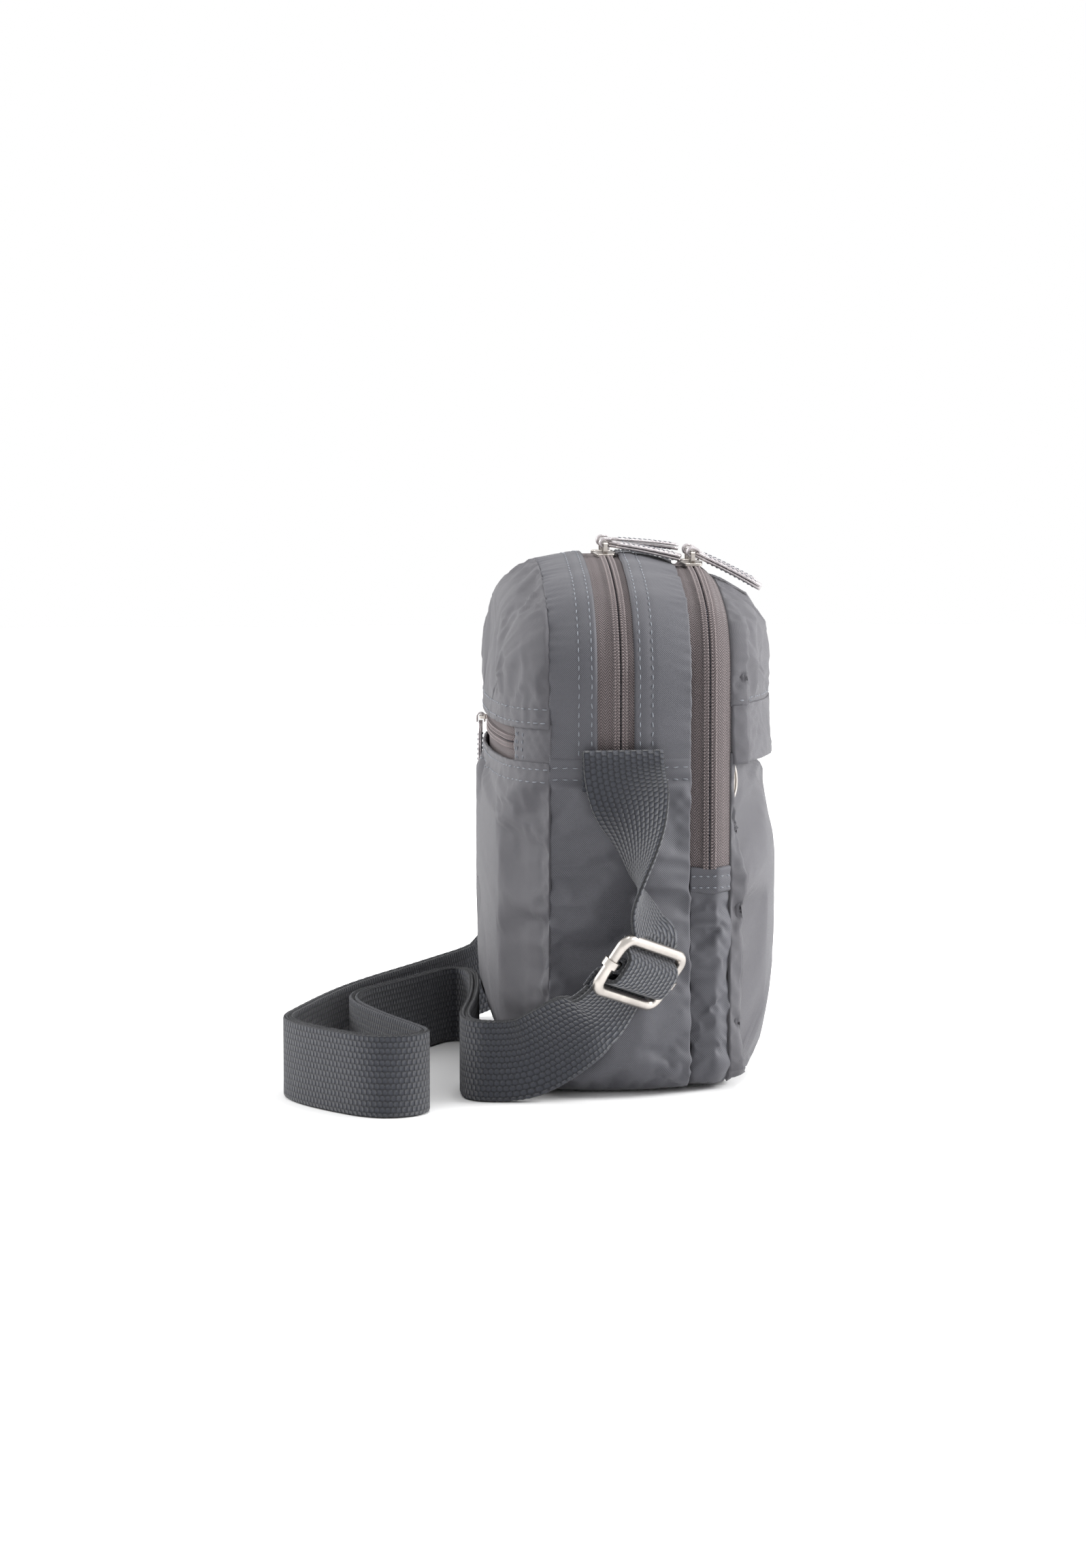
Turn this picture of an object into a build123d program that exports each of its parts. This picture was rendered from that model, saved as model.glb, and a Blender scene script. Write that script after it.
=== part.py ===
from build123d import *
from math import asin, cos, pi, radians, sin, tan
import os

# Small soft shoulder bag with a webbing strap, in millimetres.
# X runs across the bag's width, Y from its front (-) to its back (+), Z up from the floor.
# The origin is on the floor under the middle of the bag without its strap.

os.makedirs("parts", exist_ok=True)

# ---- driving dimensions -------------------------------------------------------------
FABRIC = 1.2            # shell fabric with its backing
TAPE = 0.6              # zip tape
LINING = 0.5
WEB_W = 32.0            # strap webbing
WEB_T = 2.0

BODY_HALF_W = 90.0      # half width over the gusset
BODY_TOP = 213.0        # crown of the arched top
R_ARCH = 170.0          # radius of the arched top
R_SHOULDER = 40.0
R_BASE = 16.0
ARCH_Z = BODY_TOP - R_ARCH

Y_BACK_SEAM = 37.5
Y_FRONT_SEAM = -18.5
Y_POCKET_SEAM = -35.5
BACK_CROWN = 3.5        # how far the gusset's seams lie inside its crown
FRONT_CROWN = 4.0
SEAM_Z = 135.0          # cross seam between the zipped and the plain gusset

POCKET_HALF_W = 82.5
POCKET_TOP = 208.0
POCKET_DROP = BODY_TOP - POCKET_TOP
POCKET_CROWN = 5.0      # how far the front panel's seam lies inside the pocket's crown

# main zip: two fabric strips leave an opening, the tapes lie below it
MAIN_ZIP_Y = 9.5
MAIN_OPEN_BACK = 18.8
MAIN_OPEN_FRONT = 4.2
TAPE_HALF = 15.0        # width of one zip tape
COIL_HALF = 2.8
COIL_T = 1.8
TAPE_LEVEL = 1.4        # depth of the tape's top below the fabric's face
COIL_LEVEL = TAPE_LEVEL + TAPE + 0.1
POCKET_ZIP_Y = -26.5
POCKET_ZIP_END = 90.0   # height where the pocket zip stops

# back and front panels: depth of the padding profile at each inset from the edge
BACK_STATIONS = [(0, 0), (4, 6), (12, 12), (24, 17.5), (40, 20.5), (60, 23)]
FRONT_STATIONS = [(0, 0), (3, 7), (8, 13), (26, 19), (46, 25)]
BACK_DEPTH = 21.0
BACK_R = 480.0          # plan radius of the back panel
FRONT_DEPTH = 24.0
FRONT_R = 138.0         # plan radius of the front panel
BACK_ARC_Y = Y_BACK_SEAM + BACK_DEPTH - BACK_R
FRONT_ARC_Y = Y_POCKET_SEAM - FRONT_DEPTH + FRONT_R

BACK_OPEN = (132.6, 146.0)      # heights of the back zip's opening
BACK_ZIP_Z = 139.4
BACK_ZIP_HALF = 62.0
YOKE_Z = 154.0                  # seam between the front yoke and the flap
FLAP_Z = 131.0                  # lower edge of the flap over the panel zip
PANEL_ZIP_Z = 141.0
PANEL_ZIP_HALF = 73.0
PANEL_TAPE_LEVEL = 6.6
PANEL_LOWER_LEVEL = 4.2

# zip slider
SLIDER_GAP = 0.25
POCKET_TAPE_LEVEL = 0.2
BACK_SLIDER_ANGLE = 6.4
BACK_TAPE_LEVEL = 2.8
BACK_BRIDGE_H = 3.6
BACK_WIRE = 1.1
BACK_STRIP_T = 1.6
PANEL_SLIDER_ANGLE = -32.5
SLIDER_L = 11.0
SLIDER_W = 9.2
SLIDER_NOSE_W = 7.0
PLATE = 1.2
CHANNEL = TAPE + 0.1 + COIL_T + 0.5
BRIDGE_H = 4.8
LOW_BRIDGE_H = 2.9
LOW_WIRE = 1.0
BRIDGE_WIRE = 1.3
BRIDGE_LONG = 4.4
BRIDGE_SINK = 0.2
STRIP_L = 32.0
STRIP_W = 7.6
STRIP_NECK_W = 4.0
STRIP_T = 2.6

BADGE_W = 12.4
BADGE_H = 16.0
BADGE_T = 1.5
BADGE_DROP = 17.5      # from the badge's eye to the middle of its oval

# strap hardware
WIRE_R = 1.75          # the far ring's wire
BUCKLE_WIRE_R = 2.2
BUCKLE_W = 42.0
BUCKLE_H = 28.0
BUCKLE_CORNER = 6.5
BAR_R = 1.2
RING_W = 40.0
RING_H = 18.0
BIG = 400.0
CENTRE_Y = 0.12


def save(name, shape):
    """Write one node, moved so that the bag's bounding box is centred on the origin."""
    solids = [Pos(0, CENTRE_Y, 0) * solid for solid in shape.solids()]
    export_step(Compound(children=solids) if len(solids) > 1 else solids[0], f"parts/{name}.step")


def between(shape, z0, z1):
    """The part of a shape between two heights."""
    return shape & Pos(0, 0, (z0 + z1) / 2) * Box(BIG, BIG, z1 - z0)


def within_x(shape, x0, x1):
    return shape & Pos((x0 + x1) / 2, 0, 100) * Box(x1 - x0, BIG, BIG)


# ---- bag outline --------------------------------------------------------------------
def outline(half_w, bottom, top, r_arch, r_shoulder, r_base):
    """Front-view outline: flat base, straight sides, round shoulders and an arched top."""
    centre_z = top - r_arch
    lean = asin((half_w - r_shoulder) / (r_arch - r_shoulder))
    shoulder_z = centre_z + (r_arch - r_shoulder) * cos(lean)
    side = half_w - r_shoulder

    def on_shoulder(angle):
        return (side + r_shoulder * sin(angle), shoulder_z + r_shoulder * cos(angle))

    def on_base(angle):
        return (half_w - r_base + r_base * sin(angle), bottom + r_base - r_base * cos(angle))

    right = [on_base(0), on_base(pi / 4), (half_w, bottom + r_base), (half_w, shoulder_z),
             on_shoulder((lean + pi / 2) / 2), on_shoulder(lean)]
    left = [(-x, z) for x, z in right]
    edges = Line(left[0], right[0])
    for pts in (right, left):
        edges += ThreePointArc(pts[0], pts[1], pts[2])
        edges += Line(pts[2], pts[3])
        edges += ThreePointArc(pts[3], pts[4], pts[5])
    edges += ThreePointArc(right[5], (0, top), left[5])
    return make_face(edges)


def body_face(inset, raised):
    """Body outline moved in by inset at the sides and top, and up by raised at the base."""
    return outline(BODY_HALF_W - inset, raised, BODY_TOP - inset, R_ARCH - inset,
                   max(R_SHOULDER - inset, 4), max(R_BASE - inset, 3))


def pocket_face(inset, raised):
    return outline(POCKET_HALF_W - inset, raised, POCKET_TOP - inset, R_ARCH - POCKET_DROP - inset,
                   max(R_SHOULDER - 8 - inset, 4), max(R_BASE - inset, 3))


def upright(face, y):
    """Stand a face drawn in X and Z at a depth y."""
    return Pos(0, y, 0) * Rot(90, 0, 0) * face


def prism(face_of, inset, raised, y0, y1):
    return Pos(0, y0, 0) * Rot(90, 0, 0) * extrude(face_of(inset, raised), y0 - y1)


def tapered(face_of, stations, raised):
    """Solid through outlines at (y, inset) stations, with straight walls between them."""
    return loft([upright(face_of(inset, raised), y) for y, inset in stations], ruled=True)


def band(face_of, stations, level, thickness):
    """A strip of cloth round the outline: a tapered solid less its inside."""
    outer = [(y, inset + level) for y, inset in stations]
    inner = [(y, inset + level + thickness) for y, inset in stations]
    inner = [(inner[0][0] + 1, inner[0][1])] + inner + [(inner[-1][0] - 1, inner[-1][1])]
    return tapered(face_of, outer, level) - tapered(face_of, inner, level + thickness)


# ---- gusset and main zip ------------------------------------------------------------
def make_gusset():
    back_y = (MAIN_OPEN_BACK, 0.0)
    front_y = (MAIN_OPEN_FRONT, 0.0)
    back_seam = (Y_BACK_SEAM, BACK_CROWN)
    front_seam = (Y_FRONT_SEAM, FRONT_CROWN)
    lower = band(body_face, [back_seam, back_y, front_y, front_seam], 0, FABRIC)
    save("gusset_lower", between(lower, -1, SEAM_Z))
    upper = (SEAM_Z + 0.1, BODY_TOP + 1)
    save("gusset_zip_strip_back", between(band(body_face, [back_seam, back_y], 0, FABRIC), *upper))
    save("gusset_zip_strip_front", between(band(body_face, [front_y, front_seam], 0, FABRIC), *upper))
    tape_z = (SEAM_Z - 6, BODY_TOP)
    gap = 0.05
    for side, depths in (("back", (MAIN_ZIP_Y + TAPE_HALF, MAIN_OPEN_BACK, MAIN_ZIP_Y + gap)),
                         ("front", (MAIN_ZIP_Y - gap, MAIN_OPEN_FRONT, MAIN_ZIP_Y - TAPE_HALF))):
        tape = band(body_face, [(y, crown_at(y)) for y in depths], TAPE_LEVEL, TAPE)
        save(f"main_zip_tape_{side}", between(tape, *tape_z))
    coil = band(body_face, [(MAIN_ZIP_Y + COIL_HALF, 0), (MAIN_ZIP_Y - COIL_HALF, 0)], COIL_LEVEL, COIL_T)
    save("main_zip_coil", between(coil, *tape_z))


def crown_at(y):
    """How far the gusset's face lies inside its crown at depth y."""
    if y > MAIN_OPEN_BACK:
        return BACK_CROWN * (y - MAIN_OPEN_BACK) / (Y_BACK_SEAM - MAIN_OPEN_BACK)
    if y < MAIN_OPEN_FRONT:
        return FRONT_CROWN * (MAIN_OPEN_FRONT - y) / (MAIN_OPEN_FRONT - Y_FRONT_SEAM)
    return 0.0


def make_bindings():
    """Bound seam allowances inside the bag, along the back and the front seam."""
    seams = (("back", Y_BACK_SEAM - 0.3, -1, BACK_CROWN), ("front", Y_FRONT_SEAM + 0.3, 1, FRONT_CROWN))
    for side, y, inward, crown in seams:
        y0, y1 = sorted((y, y + inward * 2.4), reverse=True)
        save(f"seam_binding_{side}", prism_ring(body_face, crown + FABRIC + 1.6, 8.0, y0, y1))


def prism_ring(face_of, inset, width, y0, y1):
    inner = prism(face_of, inset + width, inset + width, y0 + 1, y1 - 1)
    return prism(face_of, inset, inset, y0, y1) - inner


# ---- front pocket gusset and its zip ------------------------------------------------
def make_pocket_gusset():
    y0, y1 = Y_FRONT_SEAM - 0.15, Y_POCKET_SEAM
    middle = POCKET_ZIP_Y - COIL_HALF - 0.4
    low = band(pocket_face, [(y0, 0), (middle, 0), (y1, POCKET_CROWN)], 0, FABRIC)
    save("pocket_gusset", between(low, -1, POCKET_ZIP_END - 8))
    tabs = between(low, POCKET_ZIP_END - 7.9, POCKET_ZIP_END)
    save("pocket_zip_end_tabs", tabs)
    gap = 0.05
    tape_z = (POCKET_ZIP_END + 0.1, POCKET_TOP + 1)
    level = POCKET_TAPE_LEVEL
    for side, stations in (("back", [(y0, 0), (POCKET_ZIP_Y + gap, 0)]),
                           ("front", [(POCKET_ZIP_Y - gap, 0), (middle, 0), (y1, POCKET_CROWN)])):
        save(f"pocket_zip_tape_{side}", between(band(pocket_face, stations, level, TAPE), *tape_z))
    coil_level = level + TAPE + 0.1
    ends = [(POCKET_ZIP_Y + COIL_HALF, 0), (POCKET_ZIP_Y - COIL_HALF, 0)]
    save("pocket_zip_coil", between(band(pocket_face, ends, coil_level, COIL_T), *tape_z))


# ---- back and front panels ----------------------------------------------------------
def puffed(face_of, stations, y_seam, outward, depth, radius, arc_y, level):
    """A padded panel: outlines that shrink outward, cut by the panel's plan arc."""
    seats = [(y_seam + outward * d, inset) for inset, d in stations]
    seats = [(y - outward * level, inset) for y, inset in seats]
    body = tapered_panel(face_of, seats, level)
    arc = Pos(0, arc_y, 100) * Cylinder(radius - level, BIG)
    return body & arc


def tapered_panel(face_of, seats, level):
    faces = [upright(face_of(inset + level, inset + level), y) for y, inset in seats]
    return loft(faces, ruled=True)


def back_volume(level):
    return puffed(lambda i, r: body_face(i + BACK_CROWN, r), BACK_STATIONS, Y_BACK_SEAM, 1,
                  BACK_DEPTH, BACK_R, BACK_ARC_Y, level)


def front_volume(level):
    return puffed(lambda i, r: pocket_face(i + POCKET_CROWN, r), FRONT_STATIONS, Y_POCKET_SEAM, -1,
                  FRONT_DEPTH, FRONT_R, FRONT_ARC_Y, level)


def beyond(shape, y_seam, outward):
    """Keep what lies on the outer side of a seam plane."""
    return shape & Pos(0, y_seam + outward * 50, 100) * Box(BIG, 100, BIG)


def skin(volume_of, y_seam, outward, level, thickness):
    return beyond(volume_of(level) - volume_of(level + thickness), y_seam, outward)


def arc_strip(radius, arc_y, y_side, level, thickness, half_x, z0, z1):
    """A strip that follows a panel's plan arc, such as a horizontal zip's tape."""
    ring = Cylinder(radius - level, z1 - z0) - Cylinder(radius - level - thickness, z1 - z0)
    ring = Pos(0, arc_y, (z0 + z1) / 2) * ring
    return ring & Pos(0, arc_y + y_side * BIG, 100) * Box(2 * half_x, 2 * BIG, BIG)


def make_back_panel():
    cloth = skin(back_volume, Y_BACK_SEAM, 1, 0, FABRIC)
    save("back_panel_lower", between(cloth, -1, BACK_OPEN[0]))
    save("back_panel_yoke", between(cloth, BACK_OPEN[1], BODY_TOP))
    zone = between(cloth, BACK_OPEN[0] + 0.1, BACK_OPEN[1] - 0.1)
    tabs = within_x(zone, -BIG, -BACK_ZIP_HALF) + within_x(zone, BACK_ZIP_HALF, BIG)
    save("back_zip_end_tabs", tabs)
    tape_half_w = 12.5
    for side, z0, z1 in (("lower", BACK_ZIP_Z - tape_half_w, BACK_ZIP_Z - 0.05),
                         ("upper", BACK_ZIP_Z + 0.05, BACK_ZIP_Z + tape_half_w)):
        save(f"back_zip_tape_{side}", arc_strip(BACK_R, BACK_ARC_Y, 1, BACK_TAPE_LEVEL, TAPE, BACK_ZIP_HALF - 1,
                                                z0, z1))
    save("back_zip_coil", arc_strip(BACK_R, BACK_ARC_Y, 1, BACK_TAPE_LEVEL + TAPE + 0.1, COIL_T, BACK_ZIP_HALF - 1,
                                    BACK_ZIP_Z - COIL_HALF, BACK_ZIP_Z + COIL_HALF))
    save("back_pocket_lining", flat_bag(POCKET_BAG_BACK))


def make_front_panel():
    cloth = skin(front_volume, Y_POCKET_SEAM, -1, 0, FABRIC)
    save("front_yoke", between(cloth, YOKE_Z, POCKET_TOP))
    save("front_flap", between(cloth, FLAP_Z, YOKE_Z - 0.1))
    lower = skin(front_volume, Y_POCKET_SEAM, -1, PANEL_LOWER_LEVEL, FABRIC)
    save("front_panel_lower", between(lower, -1, PANEL_ZIP_Z - SLIDER_W / 2 - 0.5))
    reach = PANEL_ZIP_HALF
    top = YOKE_Z - 1
    for side, z0, z1 in (("lower", PANEL_ZIP_Z - 11, PANEL_ZIP_Z - 0.05), ("upper", PANEL_ZIP_Z + 0.05, top)):
        save(f"panel_zip_tape_{side}", arc_strip(FRONT_R, FRONT_ARC_Y, -1, PANEL_TAPE_LEVEL, TAPE, reach, z0, z1))
    save("panel_zip_coil", arc_strip(FRONT_R, FRONT_ARC_Y, -1, PANEL_TAPE_LEVEL + TAPE + 0.1, COIL_T, reach,
                                     PANEL_ZIP_Z - COIL_HALF, PANEL_ZIP_Z + COIL_HALF))


# ---- inside pieces ------------------------------------------------------------------
# a flat pocket bag: (half width, base height, top height, middle depth y, gap between its sides)
POCKET_BAG_BACK = (55.0, 30.0, 124.0, 45.0, 1.0)


def flat_bag(size):
    half_w, z0, z1, y, gap = size
    middle = Pos(0, y, (z0 + z1) / 2)
    outer = Box(2 * half_w, gap + 2 * LINING, z1 - z0)
    hollow = Pos(0, 0, LINING) * Box(2 * half_w - 2 * LINING, gap, z1 - z0)
    return middle * (outer - hollow)


def make_inside():
    main = 14.0
    y0, y1 = Y_BACK_SEAM - 4, Y_FRONT_SEAM + 4
    outer = prism(body_face, main, 6, y0, y1)
    inner = prism(body_face, main + LINING, 6 + LINING, y0 - LINING, y1 + LINING)
    save("main_lining", outer - inner)
    divider = prism(pocket_face, 2.2, 2.2, Y_FRONT_SEAM - 0.3, Y_FRONT_SEAM - 0.3 - LINING)
    save("divider_wall", divider)
    y0, y1 = Y_FRONT_SEAM - 1.4, Y_POCKET_SEAM + 5
    inset = 20.0
    outer = prism(pocket_face, inset, 5, y0, y1)
    inner = prism(pocket_face, inset + LINING, 5 + LINING, y0 - LINING, y1 + LINING)
    save("front_pocket_lining", outer - inner)
    board_w = 2 * (BODY_HALF_W - R_BASE - 6)
    board = Pos(0, (Y_BACK_SEAM + Y_FRONT_SEAM) / 2, 3.2) * Box(board_w, 40, 2.0)
    save("base_board", fillet(board.edges().filter_by(Axis.Z), 8))


# ---- zip sliders and pulls ----------------------------------------------------------
def plate_face():
    """Shield-shaped slider plate, wide at the head and narrow at the tail."""
    head, tail = SLIDER_W / 2, SLIDER_NOSE_W / 2
    half = SLIDER_L / 2
    pts = [(-half, -tail), (half - 3.5, -head), (half, -head + 1.6), (half, head - 1.6),
           (half - 3.5, head), (-half, tail)]
    face = make_face(Polyline(*pts, close=True))
    return fillet(face.vertices(), 0.9)


def slider(bridge_h=BRIDGE_H, wire=BRIDGE_WIRE):
    """Slider on local X, its channel's top at z = 0: two plates and the bridge for the pull."""
    plate = extrude(plate_face(), PLATE)
    top = fillet(plate.edges().group_by(Axis.Z)[-1], 0.3)
    rail = Box(SLIDER_L - 4.5, 0.9, 0.35, align=(Align.CENTER, Align.CENTER, Align.MIN))
    for side in (-1, 1):
        top += Pos(-0.4, side * (SLIDER_NOSE_W / 2 - 0.7), -0.2) * rail
    bottom = Pos(0, 0, -CHANNEL - PLATE) * plate
    return [top + Pos(0, 0, PLATE - BRIDGE_SINK) * bridge(bridge_h, wire), bottom]


def bridge(height, wire):
    """Bail over the slider, open from side to side, that the pull goes through."""
    half = BRIDGE_LONG + wire / 2
    outer = Pos(0, height / 2) * RectangleRounded(2 * half, height, wire)
    inner = Pos(0, (height - wire) / 2 - 1) * RectangleRounded(2 * half - 2 * wire, height - wire + 2, 0.6)
    arch = Rot(90, 0, 0) * extrude(outer - inner, 0.6 * wire, both=True)
    return arch


def bar_lift(height=BRIDGE_H, wire=BRIDGE_WIRE):
    """Height of the bridge's bar over the top of the slider's channel."""
    return PLATE - BRIDGE_SINK + height - wire / 2


def strip_pull(thick=STRIP_T):
    """Leather strip folded round the bridge's bar, its tail along local -Y from the bar."""
    eye_r = 1.25
    eye = Cylinder(eye_r + thick / 2, STRIP_NECK_W, rotation=(0, 90, 0))
    neck = Pos(0, -4, 0) * Box(STRIP_NECK_W, 8, thick)
    start = 4.4
    tail = Pos(0, -(start + STRIP_L) / 2, 0) * Box(STRIP_W, STRIP_L - start, thick)
    tail = fillet(tail.edges().filter_by(Axis.Z), 1.2)
    hole = Cylinder(eye_r, 3 * STRIP_W, rotation=(0, 90, 0))
    return eye + neck + tail - hole


def badge_pull():
    """Oval metal pull: an eye, a short neck, and a dished plate with a raised rim and boss."""
    hole = Cylinder(0.9, 9, rotation=(0, 90, 0))
    eye = Cylinder(1.4, 3.4, rotation=(0, 90, 0))
    neck = Pos(0, -5.5, 0) * Box(4.6, 10, BADGE_T)
    oval = Pos(0, -BADGE_DROP, -BADGE_T / 2) * extrude(Ellipse(BADGE_W / 2, BADGE_H / 2), BADGE_T)
    face_z = BADGE_T / 2
    dish = Pos(0, -BADGE_DROP, face_z - 0.4) * extrude(Ellipse(BADGE_W / 2 - 1.1, BADGE_H / 2 - 1.1), 1.0)
    boss = Pos(0, -BADGE_DROP, face_z - 0.5) * extrude(Ellipse(2.0, 3.0), 0.4)
    slot = Pos(0, 0, 0) * Box(6, 5.2, 6)
    return eye + (neck - slot) + strap_link() + oval - dish + boss - hole


def strap_link():
    """Thin tongue that joins the badge's eye to its neck."""
    return Pos(0, -2.2, 0) * Box(3.4, 2.0, 1.4)


def place(shapes, plane):
    shapes = shapes if isinstance(shapes, list) else [shapes]
    return Compound(children=[s for shape in shapes for s in (plane.location * shape).solids()])


def arch_plane(radius, angle, y):
    """Plane on an arched top: x along the zip, z outward."""
    a = radians(angle)
    return Plane((radius * sin(a), y, ARCH_Z + radius * cos(a)), x_dir=(cos(a), 0, -sin(a)), z_dir=(sin(a), 0, cos(a)))


def panel_plane(radius, angle, arc_y, z, outward):
    """Plane on a panel's plan arc: x along the zip, z outward."""
    a = radians(angle)
    origin = (radius * sin(a), arc_y + outward * radius * cos(a), z)
    return Plane(origin, x_dir=(outward * cos(a), -sin(a), 0), z_dir=(sin(a), outward * cos(a), 0))


def make_sliders():
    channel = R_ARCH - TAPE_LEVEL + SLIDER_GAP
    pocket_channel = R_ARCH - POCKET_DROP - POCKET_TAPE_LEVEL + SLIDER_GAP
    arched = (("main_zip_near", channel, -4.6, MAIN_ZIP_Y, 0, 11.0),
              ("main_zip_far", channel, 0.6, MAIN_ZIP_Y, 180, 5.0),
              ("pocket_zip_near", pocket_channel, -4.9, POCKET_ZIP_Y, 0, 27.0),
              ("pocket_zip_far", pocket_channel, 0.5, POCKET_ZIP_Y, 180, 26.0))
    for name, radius, angle, y, turn, droop in arched:
        seat = arch_plane(radius, angle, y)
        save(f"{name}_slider", place([Rot(0, 0, turn) * s for s in slider()], seat))
        pull = Pos(0, 0, bar_lift()) * Rot(droop, 0, 0) * strip_pull()
        save(f"{name}_pull", place(pull, seat))
    seat = panel_plane(BACK_R - BACK_TAPE_LEVEL + SLIDER_GAP, BACK_SLIDER_ANGLE, BACK_ARC_Y, BACK_ZIP_Z, 1)
    save("back_zip_slider", place(slider(BACK_BRIDGE_H, BACK_WIRE), seat))
    pull = Pos(0, 0, bar_lift(BACK_BRIDGE_H, BACK_WIRE)) * Rot(0, 0, 180) * strip_pull(BACK_STRIP_T)
    save("back_zip_pull", place(pull, seat))
    seat = panel_plane(FRONT_R - PANEL_TAPE_LEVEL + SLIDER_GAP, PANEL_SLIDER_ANGLE, FRONT_ARC_Y, PANEL_ZIP_Z, -1)
    save("panel_zip_slider", place(slider(LOW_BRIDGE_H, LOW_WIRE), seat))
    badge = Pos(0, 0, bar_lift(LOW_BRIDGE_H, LOW_WIRE)) * Rot(0, 0, 180) * badge_pull()
    save("panel_zip_badge", place(badge, seat))


# ---- strap --------------------------------------------------------------------------
# the buckle lies across the strap in front of the near gusset
BUCKLE_AT = (-109.2, 3.8, 52.8)
BUCKLE_ACROSS = (0.686, -0.656, -0.313)
BUCKLE_FACE = (-0.715, -0.535, -0.447)
BUCKLE = Plane(BUCKLE_AT, x_dir=BUCKLE_ACROSS, z_dir=BUCKLE_FACE)
LAYER = WEB_T / 2 + 0.2             # half the spacing of the doubled strap's two layers
PASS_Z = -3.5                       # the webbing's middle behind the buckle's long sides
TAIL_Z = -5.7
BUCKLE_END = 16.0                   # where the buckle's webbing hands over to the free runs
RING_AT = (94.5, 9.5)
RING_TOP_Z = 111.0
RING_LOW_Z = RING_TOP_Z - (RING_H - 2 * WIRE_R)
FOLD_R = WIRE_R + 0.15 + WEB_T / 2

# route of the doubled strap where it stands on edge on the floor, as (x, y)
FLOOR_ROUTE = [(-95, 50), (-93, 69), (-72, 71), (-40, 66), (0, 62.5), (40, 61.5), (46, 72), (26, 84), (4, 99),
               (-17, 113), (-40, 114), (-70, 104), (-95, 93), (-112, 86), (-123, 94), (-123, 109), (-108, 124),
               (-92, 136), (-76, 142), (-54, 135), (-30, 127), (-4, 117), (22, 104), (50, 88), (78, 73), (98, 62)]


def web_section(centre, along, across, offset):
    """Webbing's section on a plane: its width on x, its thickness on y, moved off by offset."""
    along, across = Vector(*along).normalized(), Vector(*across)
    across = (across - along * across.dot(along)).normalized()
    plane = Plane(centre, x_dir=across, z_dir=along)
    return plane * Pos(0, offset) * Rectangle(WEB_W, WEB_T)


def ribbon(sections):
    return loft([web_section(*s) for s in sections], ruled=True)


def corner_radii(points):
    """As large an arc at each corner as its two runs allow."""
    radii = []
    for before, at, after in zip(points, points[1:], points[2:]):
        a, b = Vector(*at) - Vector(*before), Vector(*after) - Vector(*at)
        turn = radians(a.get_angle(b))
        radii.append(0.45 * min(a.length, b.length) / tan(turn / 2))
    return radii


def floor_layers():
    """The doubled strap on the floor as two layers, left and right of the route."""
    radii = corner_radii(FLOOR_ROUTE)
    print("strap bend radii:", [round(r) for r in radii])
    route = FilletPolyline(*FLOOR_ROUTE, radius=[min(r, 400) for r in radii])
    print("doubled strap on the floor:", round(route.length), "mm")
    gap = 2 * (LAYER - WEB_T / 2)
    both = trace(route, gap + 2 * WEB_T) - trace(route, gap)
    layers = []
    for face in both.faces():
        layers.append(extrude(face, WEB_W))
    return layers


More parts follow.
